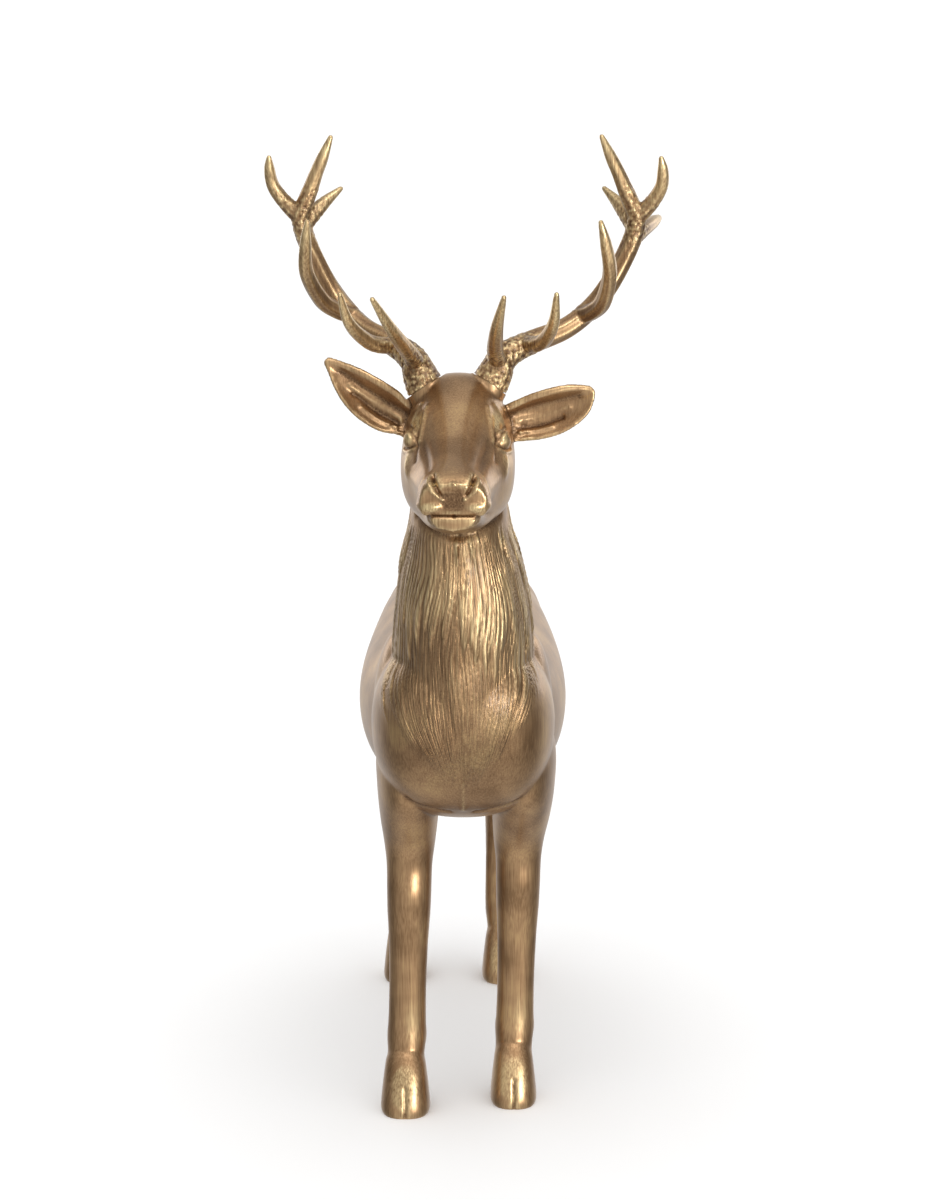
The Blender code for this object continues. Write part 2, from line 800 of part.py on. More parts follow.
def make_antler(side, parts, cutters):
    mirror = SIDES[side]
    bm = bmesh.new()
    for rows in (BEAM, *TINES.values()):
        tube(bm, rows)
    if mirror < 0:
        bmesh.ops.scale(bm, vec=(-1, 1, 1), verts=bm.verts)
        bmesh.ops.reverse_faces(bm, faces=bm.faces)
    turn = Matrix.Rotation(math.radians(-ANTLER_TURN[side]), 4, "Z")
    bm.transform(Matrix.Translation(metres(SEATS[side])) @ turn)
    antler = object_from(bm, "antler_" + side, parts)
    fuse(antler, ANTLER_VOXEL)
    relax(antler, np.ones(len(antler.data.vertices)), ANTLER_RELAX_ROUNDS)
    keep_triangles(antler, ANTLER_TRIANGLES)
    place = seat_frame(side)
    half_side = ANTLER_CUT_HALF_SIDE
    below = block("below", cutters, place, half_side, -half_side, SEAM_GAP)
    cut_or_join(antler, below, "DIFFERENCE")
    low, high = SEAM_GAP - SPIGOT_LENGTH, SPIGOT_RADIUS
    spigot = cylinder("spigot", cutters, place, SPIGOT_RADIUS, low, high)
    cut_or_join(antler, spigot, "UNION")
    return antler


def centre_on_ground(objects):
    """Puts the origin on the ground under the middle of the whole statue."""
    corners = np.vstack([points_of(obj) for obj in objects])
    middle = (corners.min(0) + corners.max(0)) / 2
    for obj in objects:
        obj.data.transform(Matrix.Translation((-middle[0], -middle[1], 0)))


def main():
    for obj in list(bpy.data.objects):
        bpy.data.objects.remove(obj)
    parts = bpy.data.collections.new("stag statue")
    cutters = bpy.data.collections.new("cutters")
    for collection in (parts, cutters):
        bpy.context.scene.collection.children.link(collection)
    material = finish_material()
    objects = [make_figure(parts, cutters)]
    objects += [make_antler(side, parts, cutters) for side in SIDES]
    centre_on_ground(objects)
    for obj in objects:
        obj.data.materials.clear()
        obj.data.materials.append(material)
        obj.data.shade_smooth()
        obj.data.set_sharp_from_angle(angle=math.radians(50))


main()
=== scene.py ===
# %% [markdown]
# # A standing stag garden statue
#
# The real statue is one hollow resin casting with two antlers that plug into its head. It is
# painted in antique gold: a metallic paint, with a brown glaze wiped off the high places.
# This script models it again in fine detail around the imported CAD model.

import math
from functools import partial

import bmesh
import bpy
import numpy as np
from mathutils import Matrix, Vector, noise
from mathutils.kdtree import KDTree


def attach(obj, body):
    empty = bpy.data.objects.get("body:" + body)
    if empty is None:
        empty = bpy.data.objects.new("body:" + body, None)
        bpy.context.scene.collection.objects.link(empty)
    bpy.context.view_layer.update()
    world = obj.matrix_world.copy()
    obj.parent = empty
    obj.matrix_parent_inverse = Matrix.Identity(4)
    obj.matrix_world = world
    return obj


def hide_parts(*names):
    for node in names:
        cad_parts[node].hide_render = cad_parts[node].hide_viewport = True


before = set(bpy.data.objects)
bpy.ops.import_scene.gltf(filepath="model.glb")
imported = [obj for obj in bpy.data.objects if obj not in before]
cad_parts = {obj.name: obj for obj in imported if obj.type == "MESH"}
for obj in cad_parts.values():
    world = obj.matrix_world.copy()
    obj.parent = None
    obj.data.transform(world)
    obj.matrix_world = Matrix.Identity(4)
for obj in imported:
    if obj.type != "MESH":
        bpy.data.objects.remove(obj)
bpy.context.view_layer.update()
scene = bpy.context.scene
print("nodes of the packed model:", sorted(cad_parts))

# %% [markdown]
# ## Working in millimetres
#
# A sculptor's measuring sheet is in millimetres, so the tables below are too. MM turns them into
# Blender's metres. The drawing has its origin near the forelegs, and the whole statue is moved to
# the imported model's place at the end.

# %% Millimetres
MM = 0.001


def metres(point):
    return Vector(point) * MM


# %% [markdown]
# ## Rings and skins
#
# An animal's body is round nearly everywhere, so each part starts as a run of rings, like the
# hoops of a barrel. A ring is a circle that is squashed into an oval or a rounded square, and
# bridging the rings gives a skin. A few measured rings are enough, because a smooth curve through
# their numbers gives the ones between.

# %% Rings and skins
def smooth_rows(rows, steps):
    """The rows with steps - 1 more between each two, on a Catmull-Rom curve."""
    table = np.array(rows, float)
    padded = np.vstack([2 * table[0] - table[1], table, 2 * table[-1] - table[-2]])
    found = []
    for i in range(1, len(padded) - 2):
        a, b, c, d = padded[i - 1 : i + 3]
        for t in np.arange(steps) / steps:
            square = (2 * a - 5 * b + 4 * c - d) * t**2
            cube = (3 * b - a - 3 * c + d) * t**3
            found.append(0.5 * (2 * b + (c - a) * t + square + cube))
    found.append(table[-1])
    return np.array(found)


def frame_at(centre, across, up):
    """A ring's plane: its x runs across, its y runs up."""
    across, up = Vector(across).normalized(), Vector(up).normalized()
    turn = Matrix((across, up, across.cross(up))).transposed().to_4x4()
    return Matrix.Translation(metres(centre)) @ turn


def shaped_ring(bm, place, half_width, half_height, pinch=0.0, squareness=2.0, segments=48):
    """One closed ring in the plane that place gives, with its top pinched in. Returns its edges."""
    verts = bmesh.ops.create_circle(bm, radius=1, segments=segments)["verts"]
    power = 2 / squareness
    for vert in verts:
        across = math.copysign(abs(vert.co.x) ** power, vert.co.x)
        up = math.copysign(abs(vert.co.y) ** power, vert.co.y)
        across *= 1 - pinch * max(0.0, up) ** 1.6
        vert.co = place @ metres((across * half_width, up * half_height, 0))
    return list({edge for vert in verts for edge in vert.link_edges})


def skin(bm, loops):
    """Joins a run of edge loops into one closed tube."""
    for lower, upper in zip(loops, loops[1:]):
        bmesh.ops.bridge_loops(bm, edges=lower + upper)
    for end in (loops[0], loops[-1]):
        bmesh.ops.contextual_create(bm, geom=end)


def press_on(form, bm):
    """Adds a finished shape to the form. Small meshes are quick, so each is made alone."""
    mesh = bpy.data.meshes.new("shape")
    bm.to_mesh(mesh)
    bm.free()
    form.from_mesh(mesh)
    bpy.data.meshes.remove(mesh)


def add_ball(form, place, half_sizes):
    bm = bmesh.new()
    stretch = Matrix.Diagonal((*metres(half_sizes), 1))
    bmesh.ops.create_uvsphere(bm, u_segments=24, v_segments=14, radius=1, matrix=place @ stretch)
    press_on(form, bm)


def add_tube(form, rings):
    """Skins rings, each given as shaped_ring's values from the place on."""
    bm = bmesh.new()
    skin(bm, [shaped_ring(bm, *ring) for ring in rings])
    press_on(form, bm)


# %% [markdown]
# ## The trunk and the neck
#
# The trunk is deep at the chest, tucks up at the belly and narrows over the haunches. Its rings
# stand upright and run from the breast to the rump. The neck's rings lie flat and climb to the
# head, leaning back a little. Ovals on each side are the muscles of the shoulder and the haunch.
# They all run into each other, and melt together later.

# %% Trunk and neck
# x, y, z of the middle, half width, half height, and how much the top is pinched in
TRUNK = (
    (3, -464, 668, 14, 20, 0.05),
    (3, -457, 668, 52, 60, 0.08),
    (3, -436, 660, 94, 102, 0.16),
    (3, -400, 650, 122, 136, 0.26),
    (3, -338, 643, 138, 160, 0.36),
    (3, -260, 638, 139, 163, 0.45),
    (3, -180, 624, 136, 163, 0.42),
    (3, -90, 600, 155, 160, 0.34),
    (2, 0, 594, 168, 158, 0.30),
    (2, 90, 604, 166, 150, 0.26),
    (2, 180, 624, 153, 138, 0.20),
    (1, 265, 640, 138, 126, 0.20),
    (0, 335, 646, 113, 110, 0.22),
    (0, 385, 652, 76, 82, 0.20),
    (0, 408, 656, 34, 42, 0.10),
)
# x, y, z of the middle, half width, half depth, and how much the nape is pinched in
NECK = (
    (3, -262, 600, 98, 166, 0.20),
    (3, -282, 680, 108, 186, 0.30),
    (3, -308, 750, 106, 168, 0.36),
    (3, -336, 820, 100, 142, 0.36),
    (1, -352, 868, 93, 128, 0.34),
    (0, -362, 902, 86, 118, 0.30),
    (-2, -374, 945, 74, 105, 0.28),
    (-3, -392, 1015, 66, 90, 0.22),
    (-3, -405, 1065, 58, 76, 0.15),
)
NECK_LEAN = 18.0
# Middle and half sizes of the muscles on the left, from the middle of the trunk
SHOULDER = ((97, -258, 622), (42, 94, 136))
HAUNCH = ((84, 258, 612), (58, 122, 122))
TRUNK_MIDDLE = 3.0
TRUNK_SQUARENESS = 2.45
NECK_SQUARENESS = 2.1

stag_form = bmesh.new()
rings = []
for x, y, z, width, height, pinch in smooth_rows(TRUNK, 5):
    place = frame_at((x, y, z), (1, 0, 0), (0, 0, 1))
    rings.append((place, width, height, pinch, TRUNK_SQUARENESS))
add_tube(stag_form, rings)
lean = math.radians(NECK_LEAN)
rings = []
for x, y, z, width, depth, pinch in smooth_rows(NECK, 5):
    place = frame_at((x, y, z), (1, 0, 0), (0, math.cos(lean), math.sin(lean)))
    rings.append((place, width, depth, pinch, NECK_SQUARENESS))
add_tube(stag_form, rings)
for (x, y, z), half_sizes in (SHOULDER, HAUNCH):
    for outward in (1, -1):
        place = Matrix.Translation(metres((TRUNK_MIDDLE + outward * x, y, z)))
        add_ball(stag_form, place, half_sizes)
print("trunk and neck:", len(stag_form.faces), "faces")

# %% [markdown]
# ## The head
#
# The head is a wedge with a flat forehead, broad cheeks and a narrow bridge that widens again to
# the lips. Each ring says where the top and the underside are, so the profile is easy to read.
# The jaw is a second, flatter tube under it, and a rounded pad on each side fills the upper lip.
# The stag looks very slightly to its right, so everything on the head goes through one turn.

# %% Head
# y, z of the top, y, z of the underside, half width, pinch of the top, and squareness
HEAD = (
    (-350, 1118, -338, 1040, 30, 0.10, 2.0),
    (-358, 1150, -342, 1000, 54, 0.16, 2.3),
    (-380, 1168, -352, 972, 72, 0.22, 2.7),
    (-408, 1170, -378, 958, 80, 0.28, 2.9),
    (-440, 1156, -412, 954, 83, 0.40, 2.9),
    (-476, 1134, -450, 956, 81, 0.46, 2.8),
    (-510, 1112, -486, 961, 72, 0.46, 2.6),
    (-545, 1092, -520, 972, 60, 0.42, 2.6),
    (-580, 1076, -556, 986, 51, 0.38, 2.7),
    (-606, 1066, -590, 996, 50, 0.34, 3.4),
    (-624, 1057, -612, 998, 49.5, 0.30, 4.4),
    (-633, 1047, -626, 1000, 46.5, 0.28, 4.6),
)
# y, z of the middle, half width, half height
JAW = (
    (-450, 992, 66, 34),
    (-500, 986, 54, 29),
    (-550, 985, 42, 22),
    (-590, 996, 38, 22),
    (-614, 999, 36, 19),
    (-628, 1000, 31, 16),
)
JAW_SQUARENESS = 2.2
# Middle and half sizes, on the left
LIP_PAD = ((29, -611, 1016), (24, 22, 14))
EYE = ((62, -472, 1084), (15.5, 15.5, 15.5))
HEAD_SHIFT = -3.0
HEAD_YAW = 1.7
NECK_AXIS_Y = -390.0


def head_turn():
    """Moves a point of a straight head to where the head looks."""
    pivot = Matrix.Translation(metres((0, NECK_AXIS_Y, 0)))
    turn = Matrix.Rotation(math.radians(-HEAD_YAW), 4, "Z")
    return Matrix.Translation(metres((HEAD_SHIFT, 0, 0))) @ pivot @ turn @ pivot.inverted()


rings = []
for top_y, top_z, low_y, low_z, width, pinch, square in smooth_rows(HEAD, 5):
    up = Vector((0, top_y - low_y, top_z - low_z))
    centre = (0, (top_y + low_y) / 2, (top_z + low_z) / 2)
    place = head_turn() @ frame_at(centre, (1, 0, 0), up)
    rings.append((place, width, up.length / 2, pinch, square))
add_tube(stag_form, rings)
rings = []
for y, z, width, height in smooth_rows(JAW, 5):
    place = head_turn() @ frame_at((0, y, z), (1, 0, 0), (0, 0, 1))
    rings.append((place, width, height, 0, JAW_SQUARENESS))
add_tube(stag_form, rings)
for (x, y, z), half_sizes in (LIP_PAD, EYE):
    for side in (1, -1):
        place = head_turn() @ Matrix.Translation(metres((side * x, y, z)))
        add_ball(stag_form, place, half_sizes)
print("with the head:", len(stag_form.faces), "faces")

# %% [markdown]
# ## Legs, hooves and tail
#
# A foreleg is a column with a knee and a slim cannon, and a hind leg bends back at the hock. The
# same table serves left and right, mirrored, with the hoof's place added. The hooves are wider
# than the pasterns and end in a flat sole, which is cut later, so they first run below the floor.

# %% Legs, hooves and tail
# z, then from the hoof's middle y, x outward and x to the left, half width, half depth
FORELEG = (
    (690, 24, -16, 10, 36, 78),
    (640, 12, -10, 10, 48, 104),
    (580, 5, 1, 10, 52, 112),
    (520, 5, 3, 10, 49, 104),
    (470, 12, 2, 9, 45, 76),
    (425, 20, 0, 7.5, 39.5, 48),
    (390, 21, 0, 7, 35.5, 36),
    (350, 17, 0, 6.5, 34.5, 35),
    (315, 18, 0, 6, 33.5, 32),
    (262, 20, 0, 5, 31, 28),
    (190, 20, 0, 3.5, 29.5, 26.5),
    (140, 20, 0, 2.5, 30, 28),
    (112, 20, 0, 2, 31, 32),
    (90, 14, 0, 1, 29, 30),
    (76, 9, 0, 0.5, 29, 30),
)
HINDLEG = (
    (705, -62, -22, 8, 40, 62),
    (655, -66, -12, 8, 60, 92),
    (590, -72, -4, 8, 66, 106),
    (520, -78, 2, 7, 60, 98),
    (460, -72, 3, 6, 51, 80),
    (405, -50, 2, 4, 42, 60),
    (360, -14, 0, 2, 36, 47),
    (322, 14, 0, 0, 32, 41),
    (292, 24, 0, -2, 31, 36),
    (250, 26, 0, -3, 29, 28.5),
    (185, 22, 0, -4, 28, 26),
    (138, 20, 0, -3, 29, 28),
    (112, 20, 0, -1, 30, 31),
    (90, 13, 0, 0, 28, 28),
    (76, 8, 0, 0, 28, 29),
)
# z, y from the hoof's middle, half width, half depth
HOOF = (
    (96, 6, 22, 22),
    (80, 5, 29, 31),
    (66, 1, 31.5, 36),
    (42, -3, 34.5, 42),
    (18, -6, 37, 46.5),
    (7, -7, 37.5, 47.5),
    (1, -7, 36, 46),
    (-12, -7, 28, 38),
)
# y, z of the middle, half width, half depth
TAIL = (
    (402, 716, 15, 13),
    (418, 700, 21, 15),
    (429, 668, 20, 14),
    (432, 632, 14, 10),
    (431, 610, 6, 5),
)
# Where each hoof stands: x, y, and how wide it is against the table
STANCE = {
    "fore_right": (-87, -296, 1.03),
    "fore_left": (82, -257, 0.97),
    "hind_right": (-100, 315, 1.0),
    "hind_left": (73, 315, 1.0),
}
SHOULDER_Y = -277.0
# A foreleg slants to its shoulder from this height, over this length
SLANT_FROM, SLANT_LENGTH = 330, 250
LEG_SQUARENESS, HOOF_SQUARENESS = 2.1, 2.5
TAIL_TILT = 0.35


def add_leg(form, name):
    """The two forelegs stand at different places, but hang from shoulders that are level."""
    x, y, share = STANCE[name]
    outward = math.copysign(1, x)
    fore = name.startswith("fore")
    top_y = SHOULDER_Y if fore else y
    rings = []
    for z, back, out, lean, width, depth in smooth_rows(FORELEG if fore else HINDLEG, 5):
        share_up = min(1, max(0, (z - SLANT_FROM) / SLANT_LENGTH))
        leg_y = y + (top_y - y) * share_up + back
        place = frame_at((x + outward * out + lean, leg_y, z), (1, 0, 0), (0, 1, 0))
        rings.append((place, width, depth, 0, LEG_SQUARENESS))
    add_tube(form, rings)
    rings = []
    for z, back, width, depth in smooth_rows(HOOF, 4):
        place = frame_at((x, y + back, z), (1, 0, 0), (0, 1, 0))
        rings.append((place, share * width, depth, 0, HOOF_SQUARENESS))
    add_tube(form, rings)


for name in STANCE:
    add_leg(stag_form, name)
rings = []
for y, z, width, depth in smooth_rows(TAIL, 4):
    rings.append((frame_at((0, y, z), (1, 0, 0), (0, 1, TAIL_TILT)), width, depth))
add_tube(stag_form, rings)
print("with legs and tail:", len(stag_form.faces), "faces")

# %% [markdown]
# ## The ears
#
# An ear is a cup with a real wall and a rolled rim, open to the front. Each ring goes once round
# the wall: along the back of the cup, over the rim, and back along the inside. The left ear is
# lower and broader, the right one points up and out.

# %% Ears
# Root to tip: x, y, z of the back's middle, half width, and how deep the bowl is
EARS = {
    "left": (
        (60, -388, 1090, 28, 14),
        (78, -388, 1097, 31, 20),
        (107, -390, 1105, 36, 26),
        (138, -392, 1115, 36.5, 24),
        (166, -391, 1128, 30, 17),
        (183, -389, 1139, 18.5, 10),
        (193, -388, 1146, 6, 4),
    ),
    "right": (
        (-64, -388, 1090, 25, 14),
        (-82, -388, 1102, 28, 18),
        (-108, -388, 1115, 35, 25),
        (-138, -386, 1135, 34.5, 23),
        (-163, -383, 1157, 27, 16),
        (-183, -380, 1176, 15, 9),
        (-197, -379, 1188, 6, 4),
    ),
}
EAR_WALL = 8.0
EAR_OPENS = Vector((0, -1, 0))
EAR_SEGMENTS = 24
SIDES = {"left": 1, "right": -1}


def bowl_ring(bm, place, half_width, bowl, upper):
    """One closed ring round the wall of a cup that opens towards the place's y.

    upper is 1 or -1, the side of the place's x where the thicker, upper rim is."""
    verts = bmesh.ops.create_circle(bm, radius=1, segments=2 * EAR_SEGMENTS)["verts"]
    wall = min(EAR_WALL, half_width)
    for index, vert in enumerate(verts):
        inside = index >= EAR_SEGMENTS
        step = 2 * EAR_SEGMENTS - 1 - index if inside else index
        across = 2 * step / (EAR_SEGMENTS - 1) - 1
        reach, back, lift, shift = half_width, bowl, 0.0, 0.0
        if inside:
            reach, back, lift = half_width - 0.9 * wall, bowl - 0.7 * wall, 0.4 * wall
            shift = -0.35 * wall * upper
        vert.co = place @ metres((reach * across + shift, lift - back * (1 - across**2), 0))
    return list({edge for vert in verts for edge in vert.link_edges})


def add_ear(form, side):
    rows = smooth_rows(EARS[side], 6)
    bm = bmesh.new()
    loops = []
    for i, (*centre, half_width, bowl) in enumerate(rows):
        along = Vector(rows[min(i + 1, len(rows) - 1)][:3] - rows[max(i - 1, 0)][:3])
        across = along.cross(EAR_OPENS).normalized()
        place = frame_at(centre, across, across.cross(along))
        loops.append(bowl_ring(bm, place, half_width, bowl, -SIDES[side]))
    skin(bm, loops)
    press_on(form, bm)


for side in SIDES:
    add_ear(stag_form, side)
print("with the ears:", len(stag_form.faces), "faces")

# %% [markdown]
# ## The antler seats
#
# Each antler stands on a short boss, cut flat square to the antler. A spigot on the antler goes
# into a socket in the head, so the antler lifts out for packing, and a thin dark seam shows
# between them.

# %% Antler seats
SEATS = {"left": (42, -392, 1155), "right": (-52, -392, 1151)}
SEAT_LEAN_OUT = 33.0
SEAT_LEAN_BACK = 8.0
SEAT_RADIUS = 28.5
# Height along the seat's own axis, and radius
BOSS = ((-34, 34), (-12, 30.5), (6, SEAT_RADIUS))


def seat_frame(side):
    """The seat of an antler: z stands square to the seat, x points outward."""
    lean = Matrix.Rotation(math.radians(SIDES[side] * SEAT_LEAN_OUT), 4, "Y")
    back = Matrix.Rotation(math.radians(-SEAT_LEAN_BACK), 4, "X")
    return Matrix.Translation(metres(SEATS[side])) @ back @ lean


for side in SIDES:
    rings = []
    for height, radius in smooth_rows(BOSS, 4):
        place = seat_frame(side) @ Matrix.Translation(metres((0, 0, height)))
        rings.append((place, radius, radius))
    add_tube(stag_form, rings)
print("with the antler seats:", len(stag_form.faces), "faces")

# %% [markdown]
# ## Melting the parts into one skin
#
# A sculptor fills the joins with clay. Here a voxel remesh does it: it wraps all the tubes in one
# even skin. A subdivision first rounds the flat facets between the rings. The voxels are about
# 2 mm, so that a lock of hair is several faces wide.

# %% One skin
STAG_VOXEL = 2.2


def object_from(bm, name):
    mesh = bpy.data.meshes.new(name)
    bm.to_mesh(mesh)
    bm.free()
    obj = bpy.data.objects.new(name, mesh)
    scene.collection.objects.link(obj)
    return obj


def apply_modifiers(obj):
    """Replaces the object's mesh by what its modifiers make of it."""
    bpy.context.view_layer.update()
    graph = bpy.context.evaluated_depsgraph_get()
    old, obj_name = obj.data, obj.name
    done = bpy.data.meshes.new_from_object(obj.evaluated_get(graph))
    obj.modifiers.clear()
    obj.data = done
    bpy.data.meshes.remove(old)
    done.name = obj_name


def fuse(obj, voxel):
    """Rounds overlapping shells and melts them into one skin."""
    rounded = obj.modifiers.new("rounded", "SUBSURF")
    rounded.levels = rounded.render_levels = 2
    remesh = obj.modifiers.new("fuse", "REMESH")
    remesh.mode = "VOXEL"
    remesh.voxel_size = voxel * MM
    apply_modifiers(obj)


stag = object_from(stag_form, "stag")
fuse(stag, STAG_VOXEL)
print("one skin:", len(stag.data.vertices), "points")

# %% [markdown]
# ## Relaxing the skin
#
# Where two tubes met there is still a crease, and real flesh has none. Each point moves a little
# towards the middle of its neighbours, many times over, and every second step puffs the form back
# out so that it doesn't shrink. The head keeps more of its edges than the body.

# %% Relaxed skin
RELAX_ROUNDS = 50
SHRINK, PUFF = 0.6, -0.56


def points_of(obj):
    co = np.empty(len(obj.data.vertices) * 3, np.float32)
    obj.data.vertices.foreach_get("co", co)
    return co.reshape(-1, 3).astype(float)


def normals_of(obj):
    found = np.empty(len(obj.data.vertices) * 3, np.float32)
    obj.data.vertices.foreach_get("normal", found)
    return found.reshape(-1, 3).astype(float)


def set_points(obj, co):
    obj.data.vertices.foreach_set("co", co.astype(np.float32).ravel())
    obj.data.update()


def ramp(value, low, high):
    """0 below low, 1 above high, and smooth between."""
    t = np.clip((value - low) / (high - low), 0, 1)
    return t * t * (3 - 2 * t)


def neighbours(obj):
    ends = np.empty(len(obj.data.edges) * 2, np.int32)
    obj.data.edges.foreach_get("vertices", ends)
    a, b = ends.reshape(-1, 2).T
    size = len(obj.data.vertices)
    return a, b, np.bincount(a, minlength=size) + np.bincount(b, minlength=size)


def neighbour_mean(values, links):
    a, b, count = links
    columns = values.reshape(len(values), -1).T
    total = [np.bincount(a, v[b], len(v)) + np.bincount(b, v[a], len(v)) for v in columns]
    return (np.array(total) / count).T.reshape(values.shape)


def relax(obj, weights, rounds):
    links = neighbours(obj)
    co = points_of(obj)
    for step in range(rounds * 2):
        factor = SHRINK if step % 2 == 0 else PUFF
        co += (neighbour_mean(co, links) - co) * (weights * factor)[:, None]
    set_points(obj, co)


skin_z = points_of(stag)[:, 2] / MM
skin_y = points_of(stag)[:, 1] / MM
softness = 1 - 0.8 * ramp(skin_z, 930, 985) - 0.12 * ramp(-skin_y, 585, 605)
relax(stag, softness, RELAX_ROUNDS)
print("relaxed over", RELAX_ROUNDS, "rounds")

# %% [markdown]
# ## The mane
#
# The neck wears a heavy mane. It is carved as overlapping locks that run down to one point on the
# breast. Each lock is a tapering tongue, thick at its tip, that lies over the one below, and it
# is combed into a few strands. The locks could be separate curves, but on a casting they are one
# surface, so they are worked out as a height above the skin. Two sets of locks, half a step
# apart, leave no bare gaps.

# %% Mane
MANE_MIDDLE = 3.0
MANE_TIP_Z = 545.0
MANE_REACH = 150.0
LOCK_RELIEF = 2.8
LOCK_WIDTH = 26.0
LOCK_LENGTH = 210.0
STRAND_WIDTH = 5.4
STRAND_RELIEF = 1.5


def chance(index, salt):
    """A fixed number from 0 to 1 for each lock, so that no two locks are alike."""
    return np.modf(np.abs(np.sin(index * 12.9898 + salt * 78.233)) * 43758.5453)[0]


def mane_angle(co):
    """The angle round the neck from its front, 0 at the middle of the breast."""
    x, y, z = (co / MM).T
    axis = -270 - 0.15 * (np.minimum(z, 800) - 640) - 0.3 * np.maximum(z - 800, 0)
    return np.arctan2(x - MANE_MIDDLE, axis - y)


def mane_columns(co):
    """How far round the neck each point is, in mm of combed hair."""
    x, y, z = (co / MM).T
    spread = 0.35 + 0.65 * ramp(z, MANE_TIP_Z, MANE_TIP_Z + 190)
    around = mane_angle(co) * MANE_REACH
    sway = [noise.noise(Vector((u / 70, v / 150, 3.1))) for u, v in zip(around, z)]
    return around / spread + 15 * np.array(sway)


def lock_layer(column, z, layer):
    """The height of one layer of overlapping locks, 0 to 1. A lock is thick at its tip."""
    column = column / LOCK_WIDTH + 0.5 * layer
    index = np.floor(column)
    across = 2 * (column - index) - 1
    length = LOCK_LENGTH * (0.75 + 0.6 * chance(index, layer))
    fall = (z / length + chance(index, layer + 3)) % 1
    narrowing = 0.10 + 0.90 * ramp(fall, 0, 0.55)
    across = (across + 0.6 * (chance(index, layer + 5) - 0.5) * (1 - fall)) / narrowing
    body = np.clip(1 - across**2, 0, 1) ** 0.7
    return ramp(fall, 0, 0.14) * (1 - ramp(fall, 0.15, 1.0)) * body


def strand_comb(columns, z):
    """The fine combing of the hair: 0 in a groove, 1 on a strand."""
    drift = [noise.noise(Vector((u / 24, v / 90, 7.7))) for u, v in zip(columns, z)]
    strand = (columns / STRAND_WIDTH + 1.5 * np.array(drift)) % 1
    return np.sqrt(np.clip(1 - (2 * strand - 1) ** 2, 0, 1))


def mane_cover(co, columns):
    """How much of the mane grows at each point, 0 to 1. Its edge ends in separate tips."""
    x, y, z = (co / MM).T
    angle = np.abs(mane_angle(co))
    uneven = 34 * chance(np.floor(columns / LOCK_WIDTH), 11)
    low_edge = MANE_TIP_Z - 12 + 290 * np.sin(angle / 2) ** 0.85 + uneven
    head_edge = 946 + 1.5 * np.maximum(0, y + 400)
    below_head = 1 - ramp(z, head_edge - 22, head_edge + 14)
    return ramp(z, low_edge, low_edge + 34) * below_head * (1 - ramp(z, 1050, 1085))


skin_co = points_of(stag)
columns = mane_columns(skin_co)
mane = mane_cover(skin_co, columns)
skin_z = skin_co[:, 2] / MM
locks = np.maximum(lock_layer(columns, skin_z, 0), lock_layer(columns, skin_z, 1))
comb = strand_comb(columns, skin_z)
depth_share = 0.35 + 0.65 * ramp(skin_z, 620, 740)
height = LOCK_RELIEF * depth_share * (locks - 0.3)
height = mane * (height + STRAND_RELIEF * (0.4 + 0.6 * depth_share) * comb)
gaps = 0.45 * depth_share * (1 - ramp(locks, 0.02, 0.3))
glaze_and_shade = mane * np.maximum(0.7 * (1 - ramp(comb, 0.15, 0.75)), gaps)
print("mane on", int((mane > 0.5).sum()), "points")
print("relief up to", round(float(height.max()), 1), "mm")

# %% [markdown]
# ## Chisel strokes
#
# The nostrils, lips, eyelids, brow and ear folds are strokes of a chisel or of a modelling tool.
# A stroke is a line of a few points. It is laid onto the skin, and each point of the skin near it
# goes in or out. A stroke with a depth above 0 is a groove, and one below 0 is a ridge. Grooves
# also hold the brown glaze later.

# %% Chisel strokes
def laid_on_skin(tree, points):
    """The line through the points, every few millimetres, moved onto the skin."""
    path = [metres(points[0])]
    for start, end in zip(points, points[1:]):
        start, end = metres(start), metres(end)
        parts = max(1, round((end - start).length / (3 * MM)))
        path += [start.lerp(end, (i + 1) / parts) for i in range(parts)]
    line = np.array([tree.find(point)[0] for point in path])
    for _ in range(2 if len(line) > 2 else 0):
        line[1:-1] = (line[:-2] + 2 * line[1:-1] + line[2:]) / 4
    return line


def stroke(co, path, width):
    """How strongly a stroke touches each point of the skin, 1 on its line."""
    reach = 3 * width * MM
    near = np.all((co > path.min(0) - reach) & (co < path.max(0) + reach), axis=1)
    index = np.flatnonzero(near)
    nearest = np.full(len(index), np.inf)
    for start, end in zip(path, path[1:]):
        run = end - start
        share = np.clip((co[index] - start) @ run / max(run @ run, 1e-12), 0, 1)
        away = np.linalg.norm(co[index] - start - share[:, None] * run, axis=1)
        nearest = np.minimum(nearest, away)
    touch = np.zeros(len(co))
    touch[index] = np.exp(-((nearest / (width * MM)) ** 2))
    return touch


def spot(middle, half_sizes, core=0.3):
    """1 at the middle of an oval spot, fading from its core to 0 at its edge."""
    away = np.linalg.norm((skin_co / MM - np.array(middle)) / np.array(half_sizes), axis=1)
    return 1 - ramp(away, core, 1.0)


skin_tree = KDTree(len(skin_co))
for i, point in enumerate(skin_co):
    skin_tree.insert(point, i)
skin_tree.balance()
print("strokes can be laid on", len(skin_co), "points")


def carve(points, width, depth):
    """Works one stroke into the relief and the glaze of the stag."""
    touch = stroke(skin_co, laid_on_skin(skin_tree, points), width)
    height[:] -= touch * depth
    if depth > 0:
        glaze_and_shade[:] = np.maximum(glaze_and_shade, touch * min(1, depth / 3))


# %% [markdown]
# ## The face
#
# The strokes are drawn on the left half of a straight head and used on both sides. The eye lies
# on the side of the head, under a facet of the brow, between two lids. The nostrils slant down
# from the bridge to the middle of the lip, each with a thin rim, and the lower lip sticks out
# like a small shovel under the line of the mouth.

